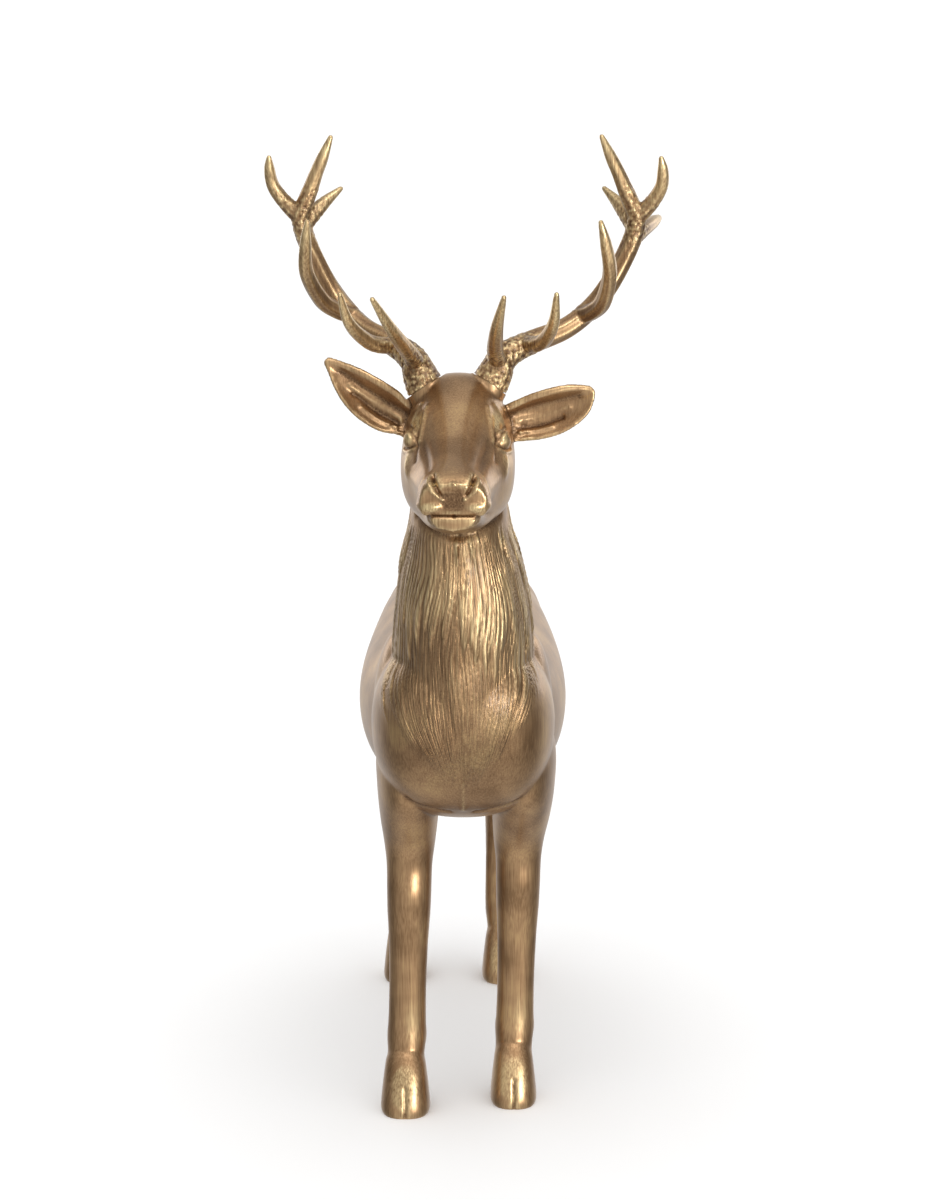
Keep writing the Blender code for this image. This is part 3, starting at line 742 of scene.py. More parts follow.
# %% Face
# Points, width and depth
FACE = {
    "nostril_top": (((29, -614, 1056), (25.5, -627, 1046)), 3.2, 8.0),
    "nostril_tail": (((25.5, -627, 1046), (17, -631, 1030)), 2.2, 4.0),
    "nostril_rim": (
        ((33, -612, 1058), (35, -619, 1051), (30, -632, 1038), (16, -630, 1026)), 2.4, -2.2,
    ),
    "nose_edge": (((17, -630, 1045), (0, -632, 1048)), 3.0, -2.0),
    "mouth": (
        ((0, -626, 1001), (25, -624, 1002), (40, -616, 1003), (49, -602, 1004), (52, -580, 1005)),
        2.2, 4.0,
    ),
    "lip_edge": (
        ((48, -600, 1010), (49, -606, 1024), (42, -606, 1040), (34, -590, 1056)), 3.5, -1.6,
    ),
    "lower_lip": (((35, -612, 998), (30, -620, 988), (13, -626, 982), (0, -628, 981)), 2.0, -1.6),
    "under_lip": (((41, -600, 996), (34, -606, 982), (16, -612, 974), (0, -614, 972)), 3.0, 2.4),
    "throat": (((60, -430, 968), (34, -464, 950), (0, -476, 944)), 7.0, 4.0),
    "lid_crease": (
        ((74, -444, 1103), (70, -462, 1103), (63, -485, 1095), (56, -496, 1083)), 2.2, 2.6,
    ),
    "upper_lid": (((73, -448, 1098), (71, -470, 1096), (66, -487, 1089)), 2.2, -1.6),
    "lower_lid_crease": (((57, -495, 1081), (66, -486, 1074), (76, -464, 1072)), 2.0, 1.4),
    "lower_lid": (((60, -494, 1073), (69, -480, 1067), (78, -458, 1068)), 3.4, -2.0),
    "brow": (((44, -452, 1128), (50, -472, 1114), (53, -486, 1101), (53, -498, 1087)), 4.0, -2.4),
    "brow_side": (((52, -434, 1129), (66, -440, 1115), (72, -446, 1107)), 4.0, -2.2),
    "facet": (((58, -455, 1115), (57, -475, 1104), (56, -488, 1092)), 4.5, 1.2),
    "tear": (((56, -500, 1078), (58, -520, 1062)), 4.0, 2.0),
    "under_eye": (((68, -490, 1058), (66, -505, 1044)), 9.0, -3.0),
    "bridge_side": (((44, -510, 1080), (38, -550, 1066), (36, -585, 1056)), 7.0, 2.2),
    "cheek_bone": (((70, -500, 1048), (62, -540, 1036), (56, -565, 1030)), 12.0, -2.0),
}


def straight_to_turned(points, side):
    return [head_turn() @ metres((side * x, y, z)) / MM for x, y, z in points]


for points, width, depth in FACE.values():
    for side in SIDES.values():
        carve(straight_to_turned(points, side), width, depth)
print("face strokes:", len(FACE), "on each side")

# %% [markdown]
# ## Inside the ears
#
# The bowl of each ear has long folds that fan out from its root, and a deep crease under the
# rolled upper rim. Tufts of rough hair fill its root, and seeded noise is enough for them.

# %% Ear folds
EAR_FOLDS = {
    "left": (
        ((76, -382, 1107), (102, -380, 1117), (144, -383, 1127), (170, -387, 1134)),
        ((82, -378, 1097), (122, -378, 1105), (158, -382, 1119)),
        ((84, -380, 1089), (118, -380, 1094), (148, -384, 1105)),
        ((88, -382, 1081), (112, -382, 1084), (132, -386, 1091)),
    ),
    "right": (
        ((-84, -381, 1111), (-111, -374, 1125), (-147, -376, 1148), (-175, -380, 1169)),
        ((-90, -377, 1102), (-132, -373, 1128), (-162, -377, 1150)),
        ((-92, -378, 1094), (-128, -376, 1116), (-155, -379, 1138)),
        ((-96, -382, 1087), (-122, -380, 1102), (-142, -381, 1118)),
    ),
}
# Width and depth of each fold, from the upper rim down
FOLD_CUTS = ((7.0, 2.2), (4.2, -2.6), (3.2, 2.6), (4.0, -2.2))
# The middles of the tufted places, their half sizes, and how high the tufts stand
TUFTS = (
    (((84, -392, 1090), (-90, -392, 1096)), (34, 34, 26), 2.2),
    (((64, -410, 1118), (-70, -410, 1118)), (16, 26, 24), 1.8),
)
TUFT_SIZE = 6.0

for folds in EAR_FOLDS.values():
    for points, (width, depth) in zip(folds, FOLD_CUTS):
        carve(points, width, depth)
for tuft_middles, half_sizes, relief in TUFTS:
    for tuft_middle in tuft_middles:
        near = spot(tuft_middle, half_sizes)
        for i in np.flatnonzero(near > 0):
            height[i] += relief * near[i] * noise.noise(Vector(skin_co[i]) / (TUFT_SIZE * MM))
print("folds in each ear:", len(FOLD_CUTS))

# %% [markdown]
# ## Breast, knees and hooves
#
# Below the mane the breast comes to a keel, and a deep fold separates it from each foreleg. The
# legs show tendons, a knee cap and a ridge round the top of the hoof, and each hoof is cloven.

# %% Body strokes
KEEL = ((MANE_MIDDLE, -452, 559), (MANE_MIDDLE, -436, 534), (MANE_MIDDLE, -405, 505))
# On the left, with x from the middle of the breast
BREAST_FOLD = ((21, -388, 508), (47, -386, 517), (79, -372, 534))
FORE_KNEE_Z, HOCK_Z = 366, 334


def leg_strokes(x, y, fore):
    """The strokes of one leg, from the middle of its hoof."""
    knee = FORE_KNEE_Z if fore else HOCK_Z
    lean = 6 if fore else 0
    found = [
        (((x, y - 44, 46), (x, y - 50, 24), (x, y - 56, 2)), 2.6, 2.6),
        (((x + lean, y - 20, knee - 14), (x + lean, y - 22, knee + 10)), 13.0, -1.0),
    ]
    for out in (-1, 1):
        shin = (x + 3 + out * 26, y + 24, 300), (x + 2 + out * 24, y + 24, 130)
        found.append((shin, 7.0, 1.4))
    return found


carve(KEEL, 5.0, -2.0)
for side in SIDES.values():
    carve([(MANE_MIDDLE + side * x, y, z) for x, y, z in BREAST_FOLD], 6.0, 3.0)
for name, (x, y, _) in STANCE.items():
    for points, width, depth in leg_strokes(x, y, name.startswith("fore")):
        carve(points, width, depth)
print("deepest stroke:", round(float(height.min()), 1), "mm")

# %% [markdown]
# ## Pressing the relief into the skin
#
# All the heights were added up on the smooth skin, so the skin now moves once, along its own
# outward direction. A last light relax takes off the corners a mould would not hold.

# %% Relief
set_points(stag, skin_co + normals_of(stag) * (height * MM)[:, None])
relax(stag, np.full(len(skin_co), 0.5), 1)
print("relief pressed in")

# %% [markdown]
# ## Where the paint is worn and where it is dark
#
# The painter brushes brown glaze over the gold and wipes it off again. It stays in the hollows.
# Then bright gold is dry-brushed over the high places: the hooves' fronts, the pasterns, the lips,
# the brow and the hair ridges. Light and shade are painted in as well: painted highlights on the
# lip pads, the brow facets, the eyeballs and up the stag's left side of the mane, and painted shade
# low on the breast, on the stag's right side of the neck and in the folds above the forelegs. These
# amounts are kept for each point as attributes, and the paint reads them.

# %% Glaze, gilding, painted shade and painted highlights
EDGE_GILT, HOOF_GILT, PASTERN_GILT = 0.55, 0.45, 0.35
# Where gold is rubbed on the left of the head, partly painted highlights on the lip pad, brow facet
# and eyeball: middle, half sizes, and how much
GILT_AND_PAINTED_HIGHLIGHTS_ON_FACE = (
    ((34, -630, 1014), (17, 18, 9), 1.0),
    ((29, -634, 1050), (8, 14, 9), 0.9),
    ((60, -464, 1112), (20, 32, 20), 1.3),
    ((69, -482, 1087), (9, 12, 9), 1.0),
    ((68, -490, 1056), (10, 20, 20), 0.7),
)


def bulge(obj, rounds):
    """How far each point stands out from the form around it, in millimetres."""
    links = neighbours(obj)
    start = points_of(obj)
    co = start.copy()
    for _ in range(rounds):
        co = neighbour_mean(co, links)
    return ((start - co) * normals_of(obj)).sum(1) / MM


fine_bulge, broad_bulge = bulge(stag, 6), bulge(stag, 30)
glaze_and_shade = np.clip(np.maximum(0.9 * glaze_and_shade, ramp(-broad_bulge, 0.5, 2.6)), 0, 1)
gilt_and_highlight = EDGE_GILT * np.maximum(ramp(fine_bulge, 0.3, 0.9), 0.5 * ramp(broad_bulge, 1.2, 3.2))
for x, y, _ in STANCE.values():
    gilt_and_highlight = np.maximum(gilt_and_highlight, HOOF_GILT * spot((x, y - 44, 46), (25, 34, 42), 0.75))
    gilt_and_highlight = np.maximum(gilt_and_highlight, PASTERN_GILT * spot((x + 12, y - 14, 140), (16, 26, 46)))
for side in SIDES.values():
    # Rubbed gold on the face, with painted highlights on the lip pads, the brow facets and the
    # eyeballs
    for middle, half_sizes, amount in GILT_AND_PAINTED_HIGHLIGHTS_ON_FACE:
        gilt_and_highlight = np.maximum(gilt_and_highlight, amount * spot(straight_to_turned([middle], side)[0], half_sizes))
    pupil = straight_to_turned([(71, -485, 1079)], side)[0]
    breast_fold_shade = (MANE_MIDDLE + 40 * side, -388, 518)
    glaze_and_shade = np.maximum(glaze_and_shade, 0.9 * spot(pupil, (5, 5, 4.5)))
    nose = straight_to_turned([(6 * side, -632, 1023)], 1)[0]
    glaze_and_shade = np.maximum(glaze_and_shade, 0.95 * spot(nose, (12, 16, 22), 0.7))
    # Painted shade in the folds where the breast meets the forelegs
    glaze_and_shade = np.maximum(glaze_and_shade, 0.55 * spot(breast_fold_shade, (52, 40, 15)))
ears = ramp(np.abs(skin_co[:, 0]) / MM, 84, 96) * ramp(skin_z, 1070, 1080)
gilt_and_highlight *= 1 - 0.55 * ears
# Painted highlight: the gold on the hair ridges grows up the neck and towards the stag's left side,
# where light falls on the mane
on_neck = ramp(skin_z, 610, 850)
painted_highlight_side = 0.75 + 0.25 * ramp(skin_co[:, 0] / MM, -40, 30)
hair_gilt_and_highlight = (0.25 + 0.75 * on_neck) * painted_highlight_side * ramp(comb, 0.55, 1.0)
hair_gilt_and_highlight *= 0.3 + 0.7 * ramp(locks, 0.2, 0.8)
gilt_and_highlight = np.maximum(gilt_and_highlight * (1 - 0.5 * mane * (1 - on_neck)), mane * hair_gilt_and_highlight)
# Painted shade: low on the breast and on the stag's right side of the neck the gold gets glaze
# brown and less gilt
breast_painted_shade = spot((MANE_MIDDLE, -440, 640), (120, 120, 130), 0.5)
neck_painted_shade = spot((MANE_MIDDLE - 30, -470, 770), (62, 80, 90), 0.2)
painted_shade_front = np.maximum(breast_painted_shade, neck_painted_shade)
gilt_and_highlight *= 1 - 0.75 * painted_shade_front
glaze_and_shade = np.maximum(glaze_and_shade, 0.55 * painted_shade_front)
finish = {"glaze_and_shade": glaze_and_shade, "gilt_and_highlight": np.clip(gilt_and_highlight, 0, 1.3), "hair": mane, "strand": columns}
print("glazed share:", round(float((glaze_and_shade > 0.5).mean()), 3))

# %% [markdown]
# ## Fewer faces where the form is plain
#
# The even skin has far more faces than the smooth flanks need. Thinning it keeps the faces where
# the form is busy. The attributes are looked up again from the nearest point of the full skin.

# %% Thinning
STAG_TRIANGLES = 190000


def tree_of(co):
    tree = KDTree(len(co))
    for i, point in enumerate(co):
        tree.insert(point, i)
    tree.balance()
    return tree


def thin_out(obj, count):
    triangulate = obj.modifiers.new("triangles", "TRIANGULATE")
    triangulate.quad_method = "BEAUTY"
    apply_modifiers(obj)
    if len(obj.data.polygons) > count:
        thin = obj.modifiers.new("thin", "DECIMATE")
        thin.ratio = count / len(obj.data.polygons)
        apply_modifiers(obj)


def keep_finish(obj, tree, values):
    """Stores the paint's values on the finished mesh, each from the nearest sculpted point."""
    nearest = [tree.find(vert.co)[1] for vert in obj.data.vertices]
    for name, found in values.items():
        layer = obj.data.attributes.new(name, "FLOAT", "POINT")
        layer.data.foreach_set("value", found[nearest].astype(np.float32))


stag_tree = tree_of(points_of(stag))
thin_out(stag, STAG_TRIANGLES)
print("stag:", len(stag.data.polygons), "triangles")

# %% [markdown]
# ## Soles, seats and sockets
#
# Real soles are flat, so everything below the floor is cut away. The bosses are cut square, and
# each gets the socket for its spigot. Boolean cuts are right here, because these are machined
# shapes on an organic one.

# %% Soles, seats and sockets
SPIGOT_RADIUS = 11.0
SPIGOT_LENGTH = 30.0
SPIGOT_CLEARANCE = 0.5
SEAM_GAP = 0.05
SEAM_HEIGHT, SEAM_DEPTH = 1.3, 4.0


def cut_or_join(obj, other, operation):
    boolean = obj.modifiers.new(operation.lower(), "BOOLEAN")
    boolean.operation = operation
    boolean.solver = "EXACT"
    boolean.object = other
    apply_modifiers(obj)
    bpy.data.objects.remove(other)


def rod(place, radius, low, high):
    """A round rod along the place's z, from low to high."""
    bm = bmesh.new()
    middle = place @ Matrix.Translation(metres((0, 0, (low + high) / 2)))
    bmesh.ops.create_cone(
        bm, cap_ends=True, segments=48, radius1=radius * MM, radius2=radius * MM,
        depth=(high - low) * MM, matrix=middle,
    )
    return object_from(bm, "rod")


def block(place, half_sizes, low, high):
    """A block along the place's z, from low to high."""
    bm = bmesh.new()
    middle = place @ Matrix.Translation(metres((0, 0, (low + high) / 2)))
    size = Matrix.Diagonal((*metres((2 * half_sizes[0], 2 * half_sizes[1], high - low)), 1))
    bmesh.ops.create_cube(bm, size=1, matrix=middle @ size)
    return object_from(bm, "block")


cut_or_join(stag, block(Matrix.Identity(4), (1500, 1500), -200, 0), "DIFFERENCE")
for side in SIDES:
    cut_or_join(stag, rod(seat_frame(side), 1.25 * SEAT_RADIUS, 0, 50), "DIFFERENCE")
    depth = SPIGOT_LENGTH + SPIGOT_CLEARANCE
    socket = rod(seat_frame(side), SPIGOT_RADIUS + SPIGOT_CLEARANCE, -depth, 10)
    cut_or_join(stag, socket, "DIFFERENCE")
    step = rod(seat_frame(side), 1.25 * SEAT_RADIUS, -SEAM_HEIGHT, 10)
    cut_or_join(step, rod(seat_frame(side), SEAT_RADIUS - SEAM_DEPTH, -5, 15), "DIFFERENCE")
    cut_or_join(stag, step, "DIFFERENCE")
keep_finish(stag, stag_tree, finish)
print("stag after the cuts:", len(stag.data.vertices), "points")

# %% [markdown]
# ## The antlers
#
# Each antler is a beam that leaves the head outward, bends up, and carries seven tines. A tube of
# rings follows each one, with a round end. The right antler is the same casting mirrored, and
# stands turned in its socket.

# %% Antler tubes
# From the middle of the seat: x outward, y back, z up, and the radius there
BEAM = (
    (-11, -3, -20, 28),
    (0, 0, 0, 27.5),
    (9, 2, 17, 25),
    (18, 5, 34, 21.5),
    (36, 13, 47, 19),
    (68, 30, 59, 17),
    (110, 46, 74, 15.5),
    (144, 56, 99, 15),
    (171, 60, 131, 14.5),
    (193, 60, 170, 14),
    (209, 56, 209, 14),
    (215, 50, 244, 13.5),
)
TINES = {
    "brow": (
        (15, 3, 30, 14.5),
        (9, -28, 45, 12.5),
        (7, -60, 61, 11.5),
        (9, -115, 95, 9),
        (18, -165, 142, 4),
    ),
    "bez": (
        (50, 22, 55, 13.5),
        (62, -5, 57, 12),
        (77, -32, 66, 11),
        (90, -70, 96, 8.5),
        (93, -98, 139, 4),
    ),
    "trez": (
        (134, 54, 92, 13),
        (150, 32, 101, 12.5),
        (164, 8, 119, 12),
        (171, -30, 162, 10.5),
        (164, -50, 205, 8.5),
        (156, -62, 237, 4),
    ),
    "crown_inner": (
        (214, 50, 236, 13),
        (200, 50, 266, 12),
        (186, 48, 298, 10),
        (174, 46, 323, 8.5),
        (161, 44, 351, 4),
    ),
    "crown_outer": (
        (217, 50, 238, 12.5),
        (235, 42, 258, 11),
        (247, 30, 281, 9.5),
        (248, 20, 305, 8),
        (245, 12, 322, 4),
    ),
    "crown_back": (
        (210, 56, 220, 12),
        (190, 80, 250, 10),
        (168, 100, 273, 4),
    ),
    "crown_rear": (
        (208, 60, 204, 12.5),
        (226, 100, 214, 11.5),
        (243, 150, 220, 9.5),
        (253, 190, 222, 6),
    ),
}
ANTLER_TURN = {"left": 0.0, "right": 19.0}
ANTLER_VOXEL = 1.7
CROWN = (213, 50, 236)


def add_tine(form, rows):
    """A round tapering tube with a domed end. Returns its rings' places and radii."""
    path = smooth_rows(rows, 8)
    rings = []
    across = Vector((1, 0, 0))
    for i, (*centre, radius) in enumerate(path):
        before, after = path[max(i - 1, 0)][:3], path[min(i + 1, len(path) - 1)][:3]
        along = Vector(after - before).normalized()
        across = (across - along * across.dot(along)).normalized()
        rings.append((frame_at(centre, across, along.cross(across)), radius, radius))
    add_tube(form, rings)
    add_ball(form, Matrix.Translation(metres(path[-1][:3])), (path[-1][3],) * 3)
    return [(place, radius) for place, radius, _ in rings]


antler_form = bmesh.new()
tube_places = [place for rows in (BEAM, *TINES.values()) for place in add_tine(antler_form, rows)]
antler = object_from(antler_form, "antler")
fuse(antler, ANTLER_VOXEL)
relax(antler, np.ones(len(antler.data.vertices)), 8)
print("antler:", len(antler.data.vertices), "points")

# %% [markdown]
# ## Bark on the antlers
#
# Antler is bone. Long shallow furrows run along it, and towards the root and at the forks it is
# covered in small pits and beads. The furrows follow the tube, so each point asks the nearest
# ring which way round it lies. The tips are rubbed smooth.

# %% Antler bark
FURROWS = 7
FURROW_DEPTH = 0.5
PIT_DEPTH = 1.5
PIT_SIZE = 4.6

antler_co = points_of(antler)
ring_tree = tree_of([place.translation for place, _ in tube_places])
furrow, thickness = [], []
for point in antler_co:
    place, radius = tube_places[ring_tree.find(point)[1]]
    local = place.inverted_safe() @ Vector(point)
    turn = math.atan2(local.y, local.x)
    wander = 2.5 * noise.noise(Vector(point) * 14)
    furrow.append(math.cos(FURROWS * turn + wander))
    thickness.append(radius)
furrow, thickness = np.array(furrow), np.array(thickness)
to_crown = np.linalg.norm(antler_co / MM - np.array(CROWN), axis=1)
to_root = np.linalg.norm(antler_co / MM - np.array((6, 0, 20)), axis=1)
pitted = np.clip(1 - ramp(to_root, 45, 105) + 0.6 * (1 - ramp(to_crown, 25, 70)), 0, 1)
beads = np.array([noise.noise(Vector(point) / (PIT_SIZE * MM)) for point in antler_co])
rough = ramp(thickness, 6, 13)
antler_height = rough * FURROW_DEPTH * furrow * (1 - 0.6 * pitted) + PIT_DEPTH * pitted * beads
set_points(antler, antler_co + normals_of(antler) * (antler_height * MM)[:, None])
glaze = ramp(-furrow, 0.1, 1.2) * 0.6 * rough + ramp(-beads, 0.0, 0.45) * pitted
gilt_and_highlight_amount = ramp(beads, 0.05, 0.4) * pitted + 0.8 * (1 - rough) + 0.3 * ramp(furrow, 0.3, 1)
antler_finish = {"glaze_and_shade": np.clip(glaze, 0, 1), "gilt_and_highlight": np.clip(gilt_and_highlight_amount, 0, 1), "pitted": pitted}
print("pitted share of an antler:", round(float((pitted > 0.5).mean()), 2))

# %% [markdown]
# ## Two antlers from one
#
# The left antler is the form as it is, and the right one is its mirror image. Each is cut along
# its seat, a hair above the boss, and gets its spigot. The right one has a small square notch at
# the seam, where the casting's key shows.

# %% Left and right antler
NOTCH = 4.2
antler_tree = tree_of(points_of(antler))
antlers = {}
for side, mirror in SIDES.items():
    piece = antler.copy()
    piece.data = antler.data.copy()
    piece.name = "stag_antler_" + side
    scene.collection.objects.link(piece)
    keep_finish(piece, antler_tree, antler_finish)
    bm = bmesh.new()
    bm.from_mesh(piece.data)
    if mirror < 0:
        bmesh.ops.scale(bm, vec=(-1, 1, 1), verts=bm.verts)
        bmesh.ops.reverse_faces(bm, faces=bm.faces)
    turn = Matrix.Rotation(math.radians(-ANTLER_TURN[side]), 4, "Z")
    bm.transform(Matrix.Translation(metres(SEATS[side])) @ turn)
    bm.to_mesh(piece.data)
    bm.free()
    cut_or_join(piece, block(seat_frame(side), (80, 80), -100, SEAM_GAP), "DIFFERENCE")
    if side == "right":
        notch = seat_frame(side) @ Matrix.Translation(metres((10, -25, 0)))
        cut_or_join(piece, block(notch, (NOTCH, 6), -2, 2 * NOTCH), "DIFFERENCE")
    spigot = rod(seat_frame(side), SPIGOT_RADIUS, SEAM_GAP - SPIGOT_LENGTH, 12)
    cut_or_join(piece, spigot, "UNION")
    antlers[side] = piece
    print(piece.name, len(piece.data.vertices), "points")
bpy.data.objects.remove(antler)

# %% [markdown]
# ## Colour and node helpers
#
# Paint makers give colours as sRGB hex values, and Blender's shaders want linear light, so one
# function turns one into the other. Another adds a node with its settings and its links, and a
# third gives a colour ramp its stops.

# %% Colour and node helpers
def colour(hex_value):
    """An sRGB hex value as linear red, green, blue and alpha."""
    parts = [int(hex_value[i : i + 2], 16) / 255 for i in (1, 3, 5)]
    return (*[c / 12.92 if c <= 0.04045 else ((c + 0.055) / 1.055) ** 2.4 for c in parts], 1)


def add(owner, kind, inputs=(), output=0, **settings):
    """Adds a node to a material or a world, and returns one of its outputs.

    The inputs are named or numbered in a dict, or given in order. A socket is linked, and any
    other value is set."""
    tree = owner.node_tree
    node = tree.nodes.new("ShaderNode" + kind)
    for name, value in settings.items():
        setattr(node, name, value)
    named = inputs if isinstance(inputs, dict) else dict(enumerate(inputs))
    for name, value in named.items():
        if isinstance(value, bpy.types.NodeSocket):
            tree.links.new(value, node.inputs[name])
        else:
            node.inputs[name].default_value = value
    return node.outputs[output]


def set_stops(color_ramp, stops):
    """Gives a ramp its stops, each a place and a colour, in place of the two that it came with."""
    for place, value in stops:
        color_ramp.elements.new(place).color = value
    for own in (0, -1):
        color_ramp.elements.remove(color_ramp.elements[own])


# %% [markdown]
# ## Antique gold paint
#
# The real finish is a bronze-gold metallic paint over resin, brushed on, with a brown glaze in
# the hollows and bright gold rubbed over the edges. The colour follows the attributes made above,
# which also carry painted shade and painted highlights.
# Soft clouds about 70 mm wide vary the tone, and brush marks about 2 mm wide run down the form.
# The bump adds what is too fine to model: single hairs in the mane, the grain of the brush, and
# pores about 2 mm wide on the antler roots.

# %% Antique gold paint
# The glaze brown also paints shade, and the bright gold also paints highlights, where the
# attributes ask for them
GLAZE_AND_SHADE_BROWN = colour("#50351c")
BRONZE_DARK = colour("#8a6a48")
BRONZE = colour("#ab8862")
GOLD = colour("#c4a273")
BRIGHT_GOLD = colour("#f3dca6")
CLOUD_SIZE = 0.070
BRUSH_WIDTH, BRUSH_LENGTH = 0.0022, 0.060
PORE_SIZE = 0.0022
# In millimetres round the neck, as the strand attribute is
HAIR_WIDTH = 2.6
TONES = ((0.15, BRONZE_DARK), (0.5, BRONZE), (0.85, GOLD))
METALLIC = 0.92
SATIN, BRUSHED = 0.29, 0.16
COAT, COAT_ROUGHNESS = 0.35, 0.3
BRUSH_RELIEF, HAIR_RELIEF = 0.10, 1.7
MOST_GLAZE, MOST_GOLD = 0.92, 0.95


def antique_gold(name, amounts):
    """Metallic paint with glaze, dry-brushed gold, painted shade and painted highlights, led by the
    attributes that amounts names.
    """
    material = bpy.data.materials.new(name)
    material.use_nodes = True
    shader = material.node_tree.nodes["Principled BSDF"]
    node = partial(add, material)
    kept = {key: node("Attribute", output="Fac", attribute_name=key) for key in amounts}
    place = node("TexCoord", output="Object")
    cloud = node("TexNoise", {"Vector": place, "Scale": 1 / CLOUD_SIZE, "Detail": 3.0})
    stretch = (1 / BRUSH_WIDTH, 1 / BRUSH_WIDTH, 1 / BRUSH_LENGTH)
    along = node("Mapping", {"Vector": place, "Scale": stretch})
    brush = node("TexNoise", {"Vector": along, "Scale": 1.0, "Detail": 2.0})
    grain = node("TexNoise", {"Vector": place, "Scale": 1 / PORE_SIZE, "Detail": 2.0})

    tone = node("Math", (cloud, 1.5, -0.35), operation="MULTIPLY_ADD")
    tone = node("Math", (tone, 0.4), operation="SUBTRACT")
    tone = node("Math", (brush, 0.9, tone), operation="MULTIPLY_ADD")
    base = node("ValToRGB", (tone,))
    set_stops(base.node.color_ramp, TONES)

    broken = node("Math", (grain, 1.6, -0.3), operation="MULTIPLY_ADD")
    broken = node("Math", (broken, 0.25), operation="ADD")
    broken_glaze_and_shade = node("Math", (kept["glaze_and_shade"], broken), operation="MULTIPLY")
    broken_glaze_and_shade = node("Math", (broken_glaze_and_shade, 0.0), operation="MAXIMUM")
    glaze_and_shade_amount = node("Math", (broken_glaze_and_shade, MOST_GLAZE), operation="MINIMUM")
    base = node("Mix", {0: glaze_and_shade_amount, 6: base, 7: GLAZE_AND_SHADE_BROWN}, 2, data_type="RGBA")
    gilt_and_highlight_amount = node("Math", (brush, 2.2, -0.55), operation="MULTIPLY_ADD")
    gilt_and_highlight_amount = node("Math", (kept["gilt_and_highlight"], gilt_and_highlight_amount), operation="MULTIPLY")
    gilt_and_highlight_amount = node("Math", (gilt_and_highlight_amount, 0.0), operation="MAXIMUM")
    gilt_and_highlight_amount = node("Math", (gilt_and_highlight_amount, MOST_GOLD), operation="MINIMUM")
    base = node("Mix", {0: gilt_and_highlight_amount, 6: base, 7: BRIGHT_GOLD}, 2, data_type="RGBA")

    satin = node("Math", (brush, BRUSHED, SATIN), operation="MULTIPLY_ADD")
    satin = node("Math", (glaze_and_shade_amount, BRUSHED, satin), operation="MULTIPLY_ADD")

    relief = node("Math", (brush, BRUSH_RELIEF), operation="MULTIPLY")
    if "hair" in kept:
        strand = node("Math", (kept["strand"], HAIR_WIDTH), operation="DIVIDE")
        fall = node("SeparateXYZ", (place,), output=2)
        fall = node("Math", (fall, 1 / BRUSH_LENGTH), operation="MULTIPLY")
        comb = node("CombineXYZ", {0: strand, 2: fall})
        hairs = node("TexNoise", {"Vector": comb, "Scale": 1.0, "Detail": 3.0})
        grown = node("Math", (kept["hair"], HAIR_RELIEF), operation="MULTIPLY")
        hairs = node("Math", (hairs, grown), operation="MULTIPLY")
        relief = node("Math", (relief, hairs), operation="ADD")
    if "pitted" in kept:
        pores = node("Math", (grain, kept["pitted"]), operation="MULTIPLY")
        relief = node("Math", (relief, pores), operation="ADD")
    bump = node("Bump", {"Height": relief, "Strength": 0.8, "Distance": 0.0016})

    for socket, value in (("Base Color", base), ("Roughness", satin), ("Normal", bump)):
        material.node_tree.links.new(value, shader.inputs[socket])
    shader.inputs["Metallic"].default_value = METALLIC
    shader.inputs["Coat Weight"].default_value = COAT
    shader.inputs["Coat Roughness"].default_value = COAT_ROUGHNESS
    print(name, "has", len(material.node_tree.nodes), "nodes")
    return material


# Brushed metallic paint on a resin casting: satin, with soft highlights and tinted reflections,
# plus painted shade and painted highlights
figure_paint = antique_gold("antique gold paint on cast resin", finish)
# The same paint on the antlers, broken up by the pores of the bone
antler_paint = antique_gold("antique gold paint on pitted antler", antler_finish)

# %% [markdown]
# ## Into the imported model's place
#
# The imported model's origin is on the ground, under the middle of the whole statue's box. The same
# rule puts the fine pieces there. Each then rides on the only body, stands for its CAD node, which
# is hidden, and gets its paint.

# %% Placing and naming
pieces = {"stag_figure": stag, "antler_left": antlers["left"], "antler_right": antlers["right"]}
corners = np.vstack([points_of(piece) for piece in pieces.values()])
middle = (corners.min(0) + corners.max(0)) / 2
to_ground = Vector((-middle[0], -middle[1], 0))
for node, piece in pieces.items():
    piece.data.transform(Matrix.Translation(to_ground))
    piece.data.materials.clear()
    piece.data.materials.append(figure_paint if node == "stag_figure" else antler_paint)
    piece.data.shade_smooth()
    piece.data.set_sharp_from_angle(angle=math.radians(60))
    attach(piece, "root")
    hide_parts(node)
    print(piece.name, "stands for", node, "with", len(piece.data.polygons), "faces")

# %% [markdown]
# ## The floor
#
# The statue stands on a plain white studio floor. It runs far back, so no horizon shows, and it
# glows very faintly, as white paper under studio lamps seems to.

# %% Floor
FLOOR_SIZE = 600.0

floor_form = bmesh.new()
bmesh.ops.create_grid(floor_form, x_segments=1, y_segments=1, size=FLOOR_SIZE / 2)
floor = object_from(floor_form, "studio_floor")
floor_paint = bpy.data.materials.new("matt white studio floor")
floor_paint.use_nodes = True
floor_shader = floor_paint.node_tree.nodes["Principled BSDF"]
for socket, value in (
    ("Base Color", (0.9, 0.9, 0.9, 1)),
    ("Roughness", 0.9),
    ("Emission Color", (1, 1, 1, 1)),
    ("Emission Strength", 0.07),
):
    floor_shader.inputs[socket].default_value = value
floor.data.materials.append(floor_paint)
floor.visible_glossy = False
print("floor:", FLOOR_SIZE, "m wide")

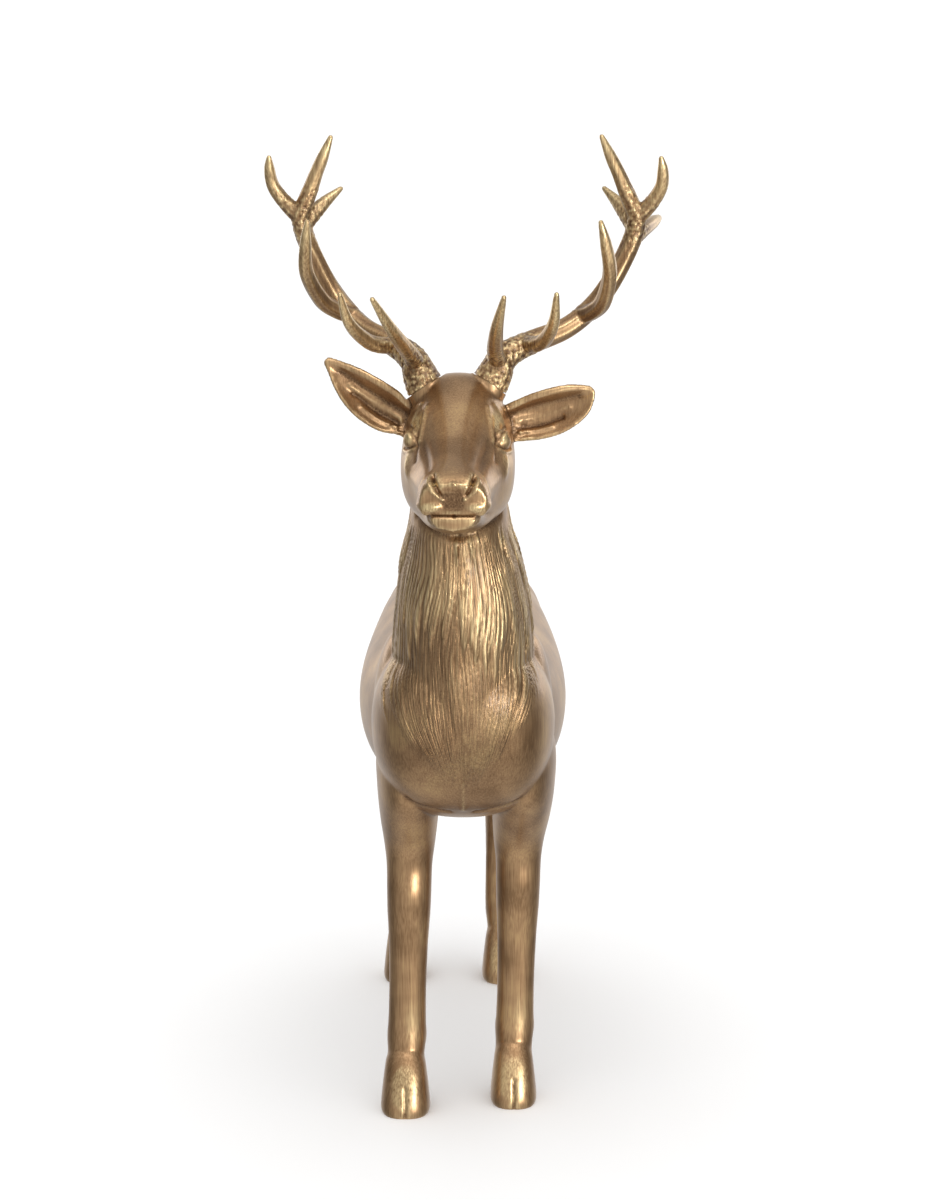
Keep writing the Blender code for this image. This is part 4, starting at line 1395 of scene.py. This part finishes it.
# %% [markdown]
# ## The light
#
# Metal looks like what it reflects, so the light matters as much as the paint. The room is bright
# on the camera's side, dark to the left and right, and bright again behind the statue. That gives
# the bronze a lit front, dark turns and pale rims. Soft boxes light the statue alone, and one of
# them adds the streaks on one side of the neck. A wide overhead light on the floor alone keeps it
# white up to the soft shadow of the hooves.

# %% Light
SOFT_BOXES = (
    # place, what it points at, width, height, and power in watts
    ((0.4, -2.0, 3.2), (0, -0.4, 0.9), 1.2, 0.7, 22),
    ((1.7, -3.0, 0.7), (0.05, -0.45, 0.95), 0.8, 0.30, 50),
    ((-2.2, 2.4, 1.6), (0, 0, 0.8), 0.6, 2.0, 10),
    ((2.2, 2.4, 1.6), (0, 0, 0.8), 0.6, 2.0, 10),
)
OVERHEAD, OVERHEAD_SPREAD = 1.2, 80


def lit_collection(name, objects):
    """A collection that a lamp can be told to light alone."""
    found = bpy.data.collections.new(name)
    scene.collection.children.link(found)
    for obj in objects:
        found.objects.link(obj)
    return found


def add_lamp(light, lights_only, place=(0, 0, 0), turn=(0, 0, 0)):
    lamp = bpy.data.objects.new(light.name, light)
    scene.collection.objects.link(lamp)
    lamp.location, lamp.rotation_euler = place, turn
    lamp.light_linking.receiver_collection = lights_only


statue = lit_collection("statue", pieces.values())
for place, target, width, tall, watts in SOFT_BOXES:
    light = bpy.data.lights.new("soft_box", "AREA")
    light.shape = "RECTANGLE"
    light.size, light.size_y, light.energy = width, tall, watts
    aim = (Vector(target) - Vector(place)).to_track_quat("-Z", "Y").to_euler()
    add_lamp(light, statue, place, aim)
light = bpy.data.lights.new("overhead", "SUN")
light.energy, light.angle = OVERHEAD, math.radians(OVERHEAD_SPREAD)
add_lamp(light, lit_collection("ground", [floor]))
print("lamps:", len(bpy.data.lights))

# %% Studio room
# From the camera's side of the room (0) round to behind the statue (1): how bright it is
STUDIO_WALLS = (
    (0.02, 0.82), (0.25, 0.56), (0.46, 0.24), (0.68, 0.26), (0.82, 0.52), (0.91, 0.75), (1.0, 0.55),
)
# What the floor (0) and the ceiling (1) of the room add, on the camera's side
STUDIO_HEIGHTS = ((0.02, 0.42), (0.25, 0.0), (0.72, 0.0), (0.98, 0.8))

studio = bpy.data.worlds.new("studio")
scene.world = studio
studio.use_nodes = True
node = partial(add, studio)
direction = node("SeparateXYZ", (node("TexCoord", output="Generated"),)).node.outputs
backward = node("MapRange", {0: direction[1], 1: -1.0, 2: 1.0})
upward = node("MapRange", {0: direction[2], 1: -1.0, 2: 1.0})
near_camera = node("MapRange", {0: direction[1], 1: 0.66, 2: 0.15})
walls, heights = node("ValToRGB", (backward,)), node("ValToRGB", (upward,))
for greys, stops in ((walls, STUDIO_WALLS), (heights, STUDIO_HEIGHTS)):
    greys.node.color_ramp.interpolation = "EASE"
    set_stops(greys.node.color_ramp, [(place, (grey, grey, grey, 1)) for place, grey in stops])
above = node("Math", (heights, near_camera), operation="MULTIPLY")
brightness = node("Math", (walls, above), operation="ADD")
background = studio.node_tree.nodes["Background"]
studio.node_tree.links.new(brightness, background.inputs["Color"])
print("room:", len(studio.node_tree.nodes), "nodes")

# %% [markdown]
# ## The camera
#
# A tall statue is photographed from further back with a long lens, so that its legs don't shrink
# away. The camera stands a little above the antlers and looks down 12 degrees, so the hooves
# behind show higher than the ones in front. The focal length, in pixels of a picture 1200 pixels
# high, is turned into millimetres on Blender's sensor.

# %% Camera
CAMERA_PLACE = (0.0018, -4.4727, 1.74)
CAMERA_PITCH = 12.25
FOCAL_PIXELS, PHOTO_HEIGHT, SENSOR = 2900, 1200, 36

camera = bpy.data.cameras.new("camera")
camera.sensor_fit = "VERTICAL"
camera.sensor_height = SENSOR
camera.lens = SENSOR * FOCAL_PIXELS / PHOTO_HEIGHT
camera.clip_end = FLOOR_SIZE
eye = bpy.data.objects.new("camera", camera)
scene.collection.objects.link(eye)
eye.location = CAMERA_PLACE
eye.rotation_euler = (math.radians(90 - CAMERA_PITCH), 0, 0)
scene.camera = eye
scene.view_settings.view_transform = "Standard"
print("camera:", round(camera.lens, 1), "mm lens")
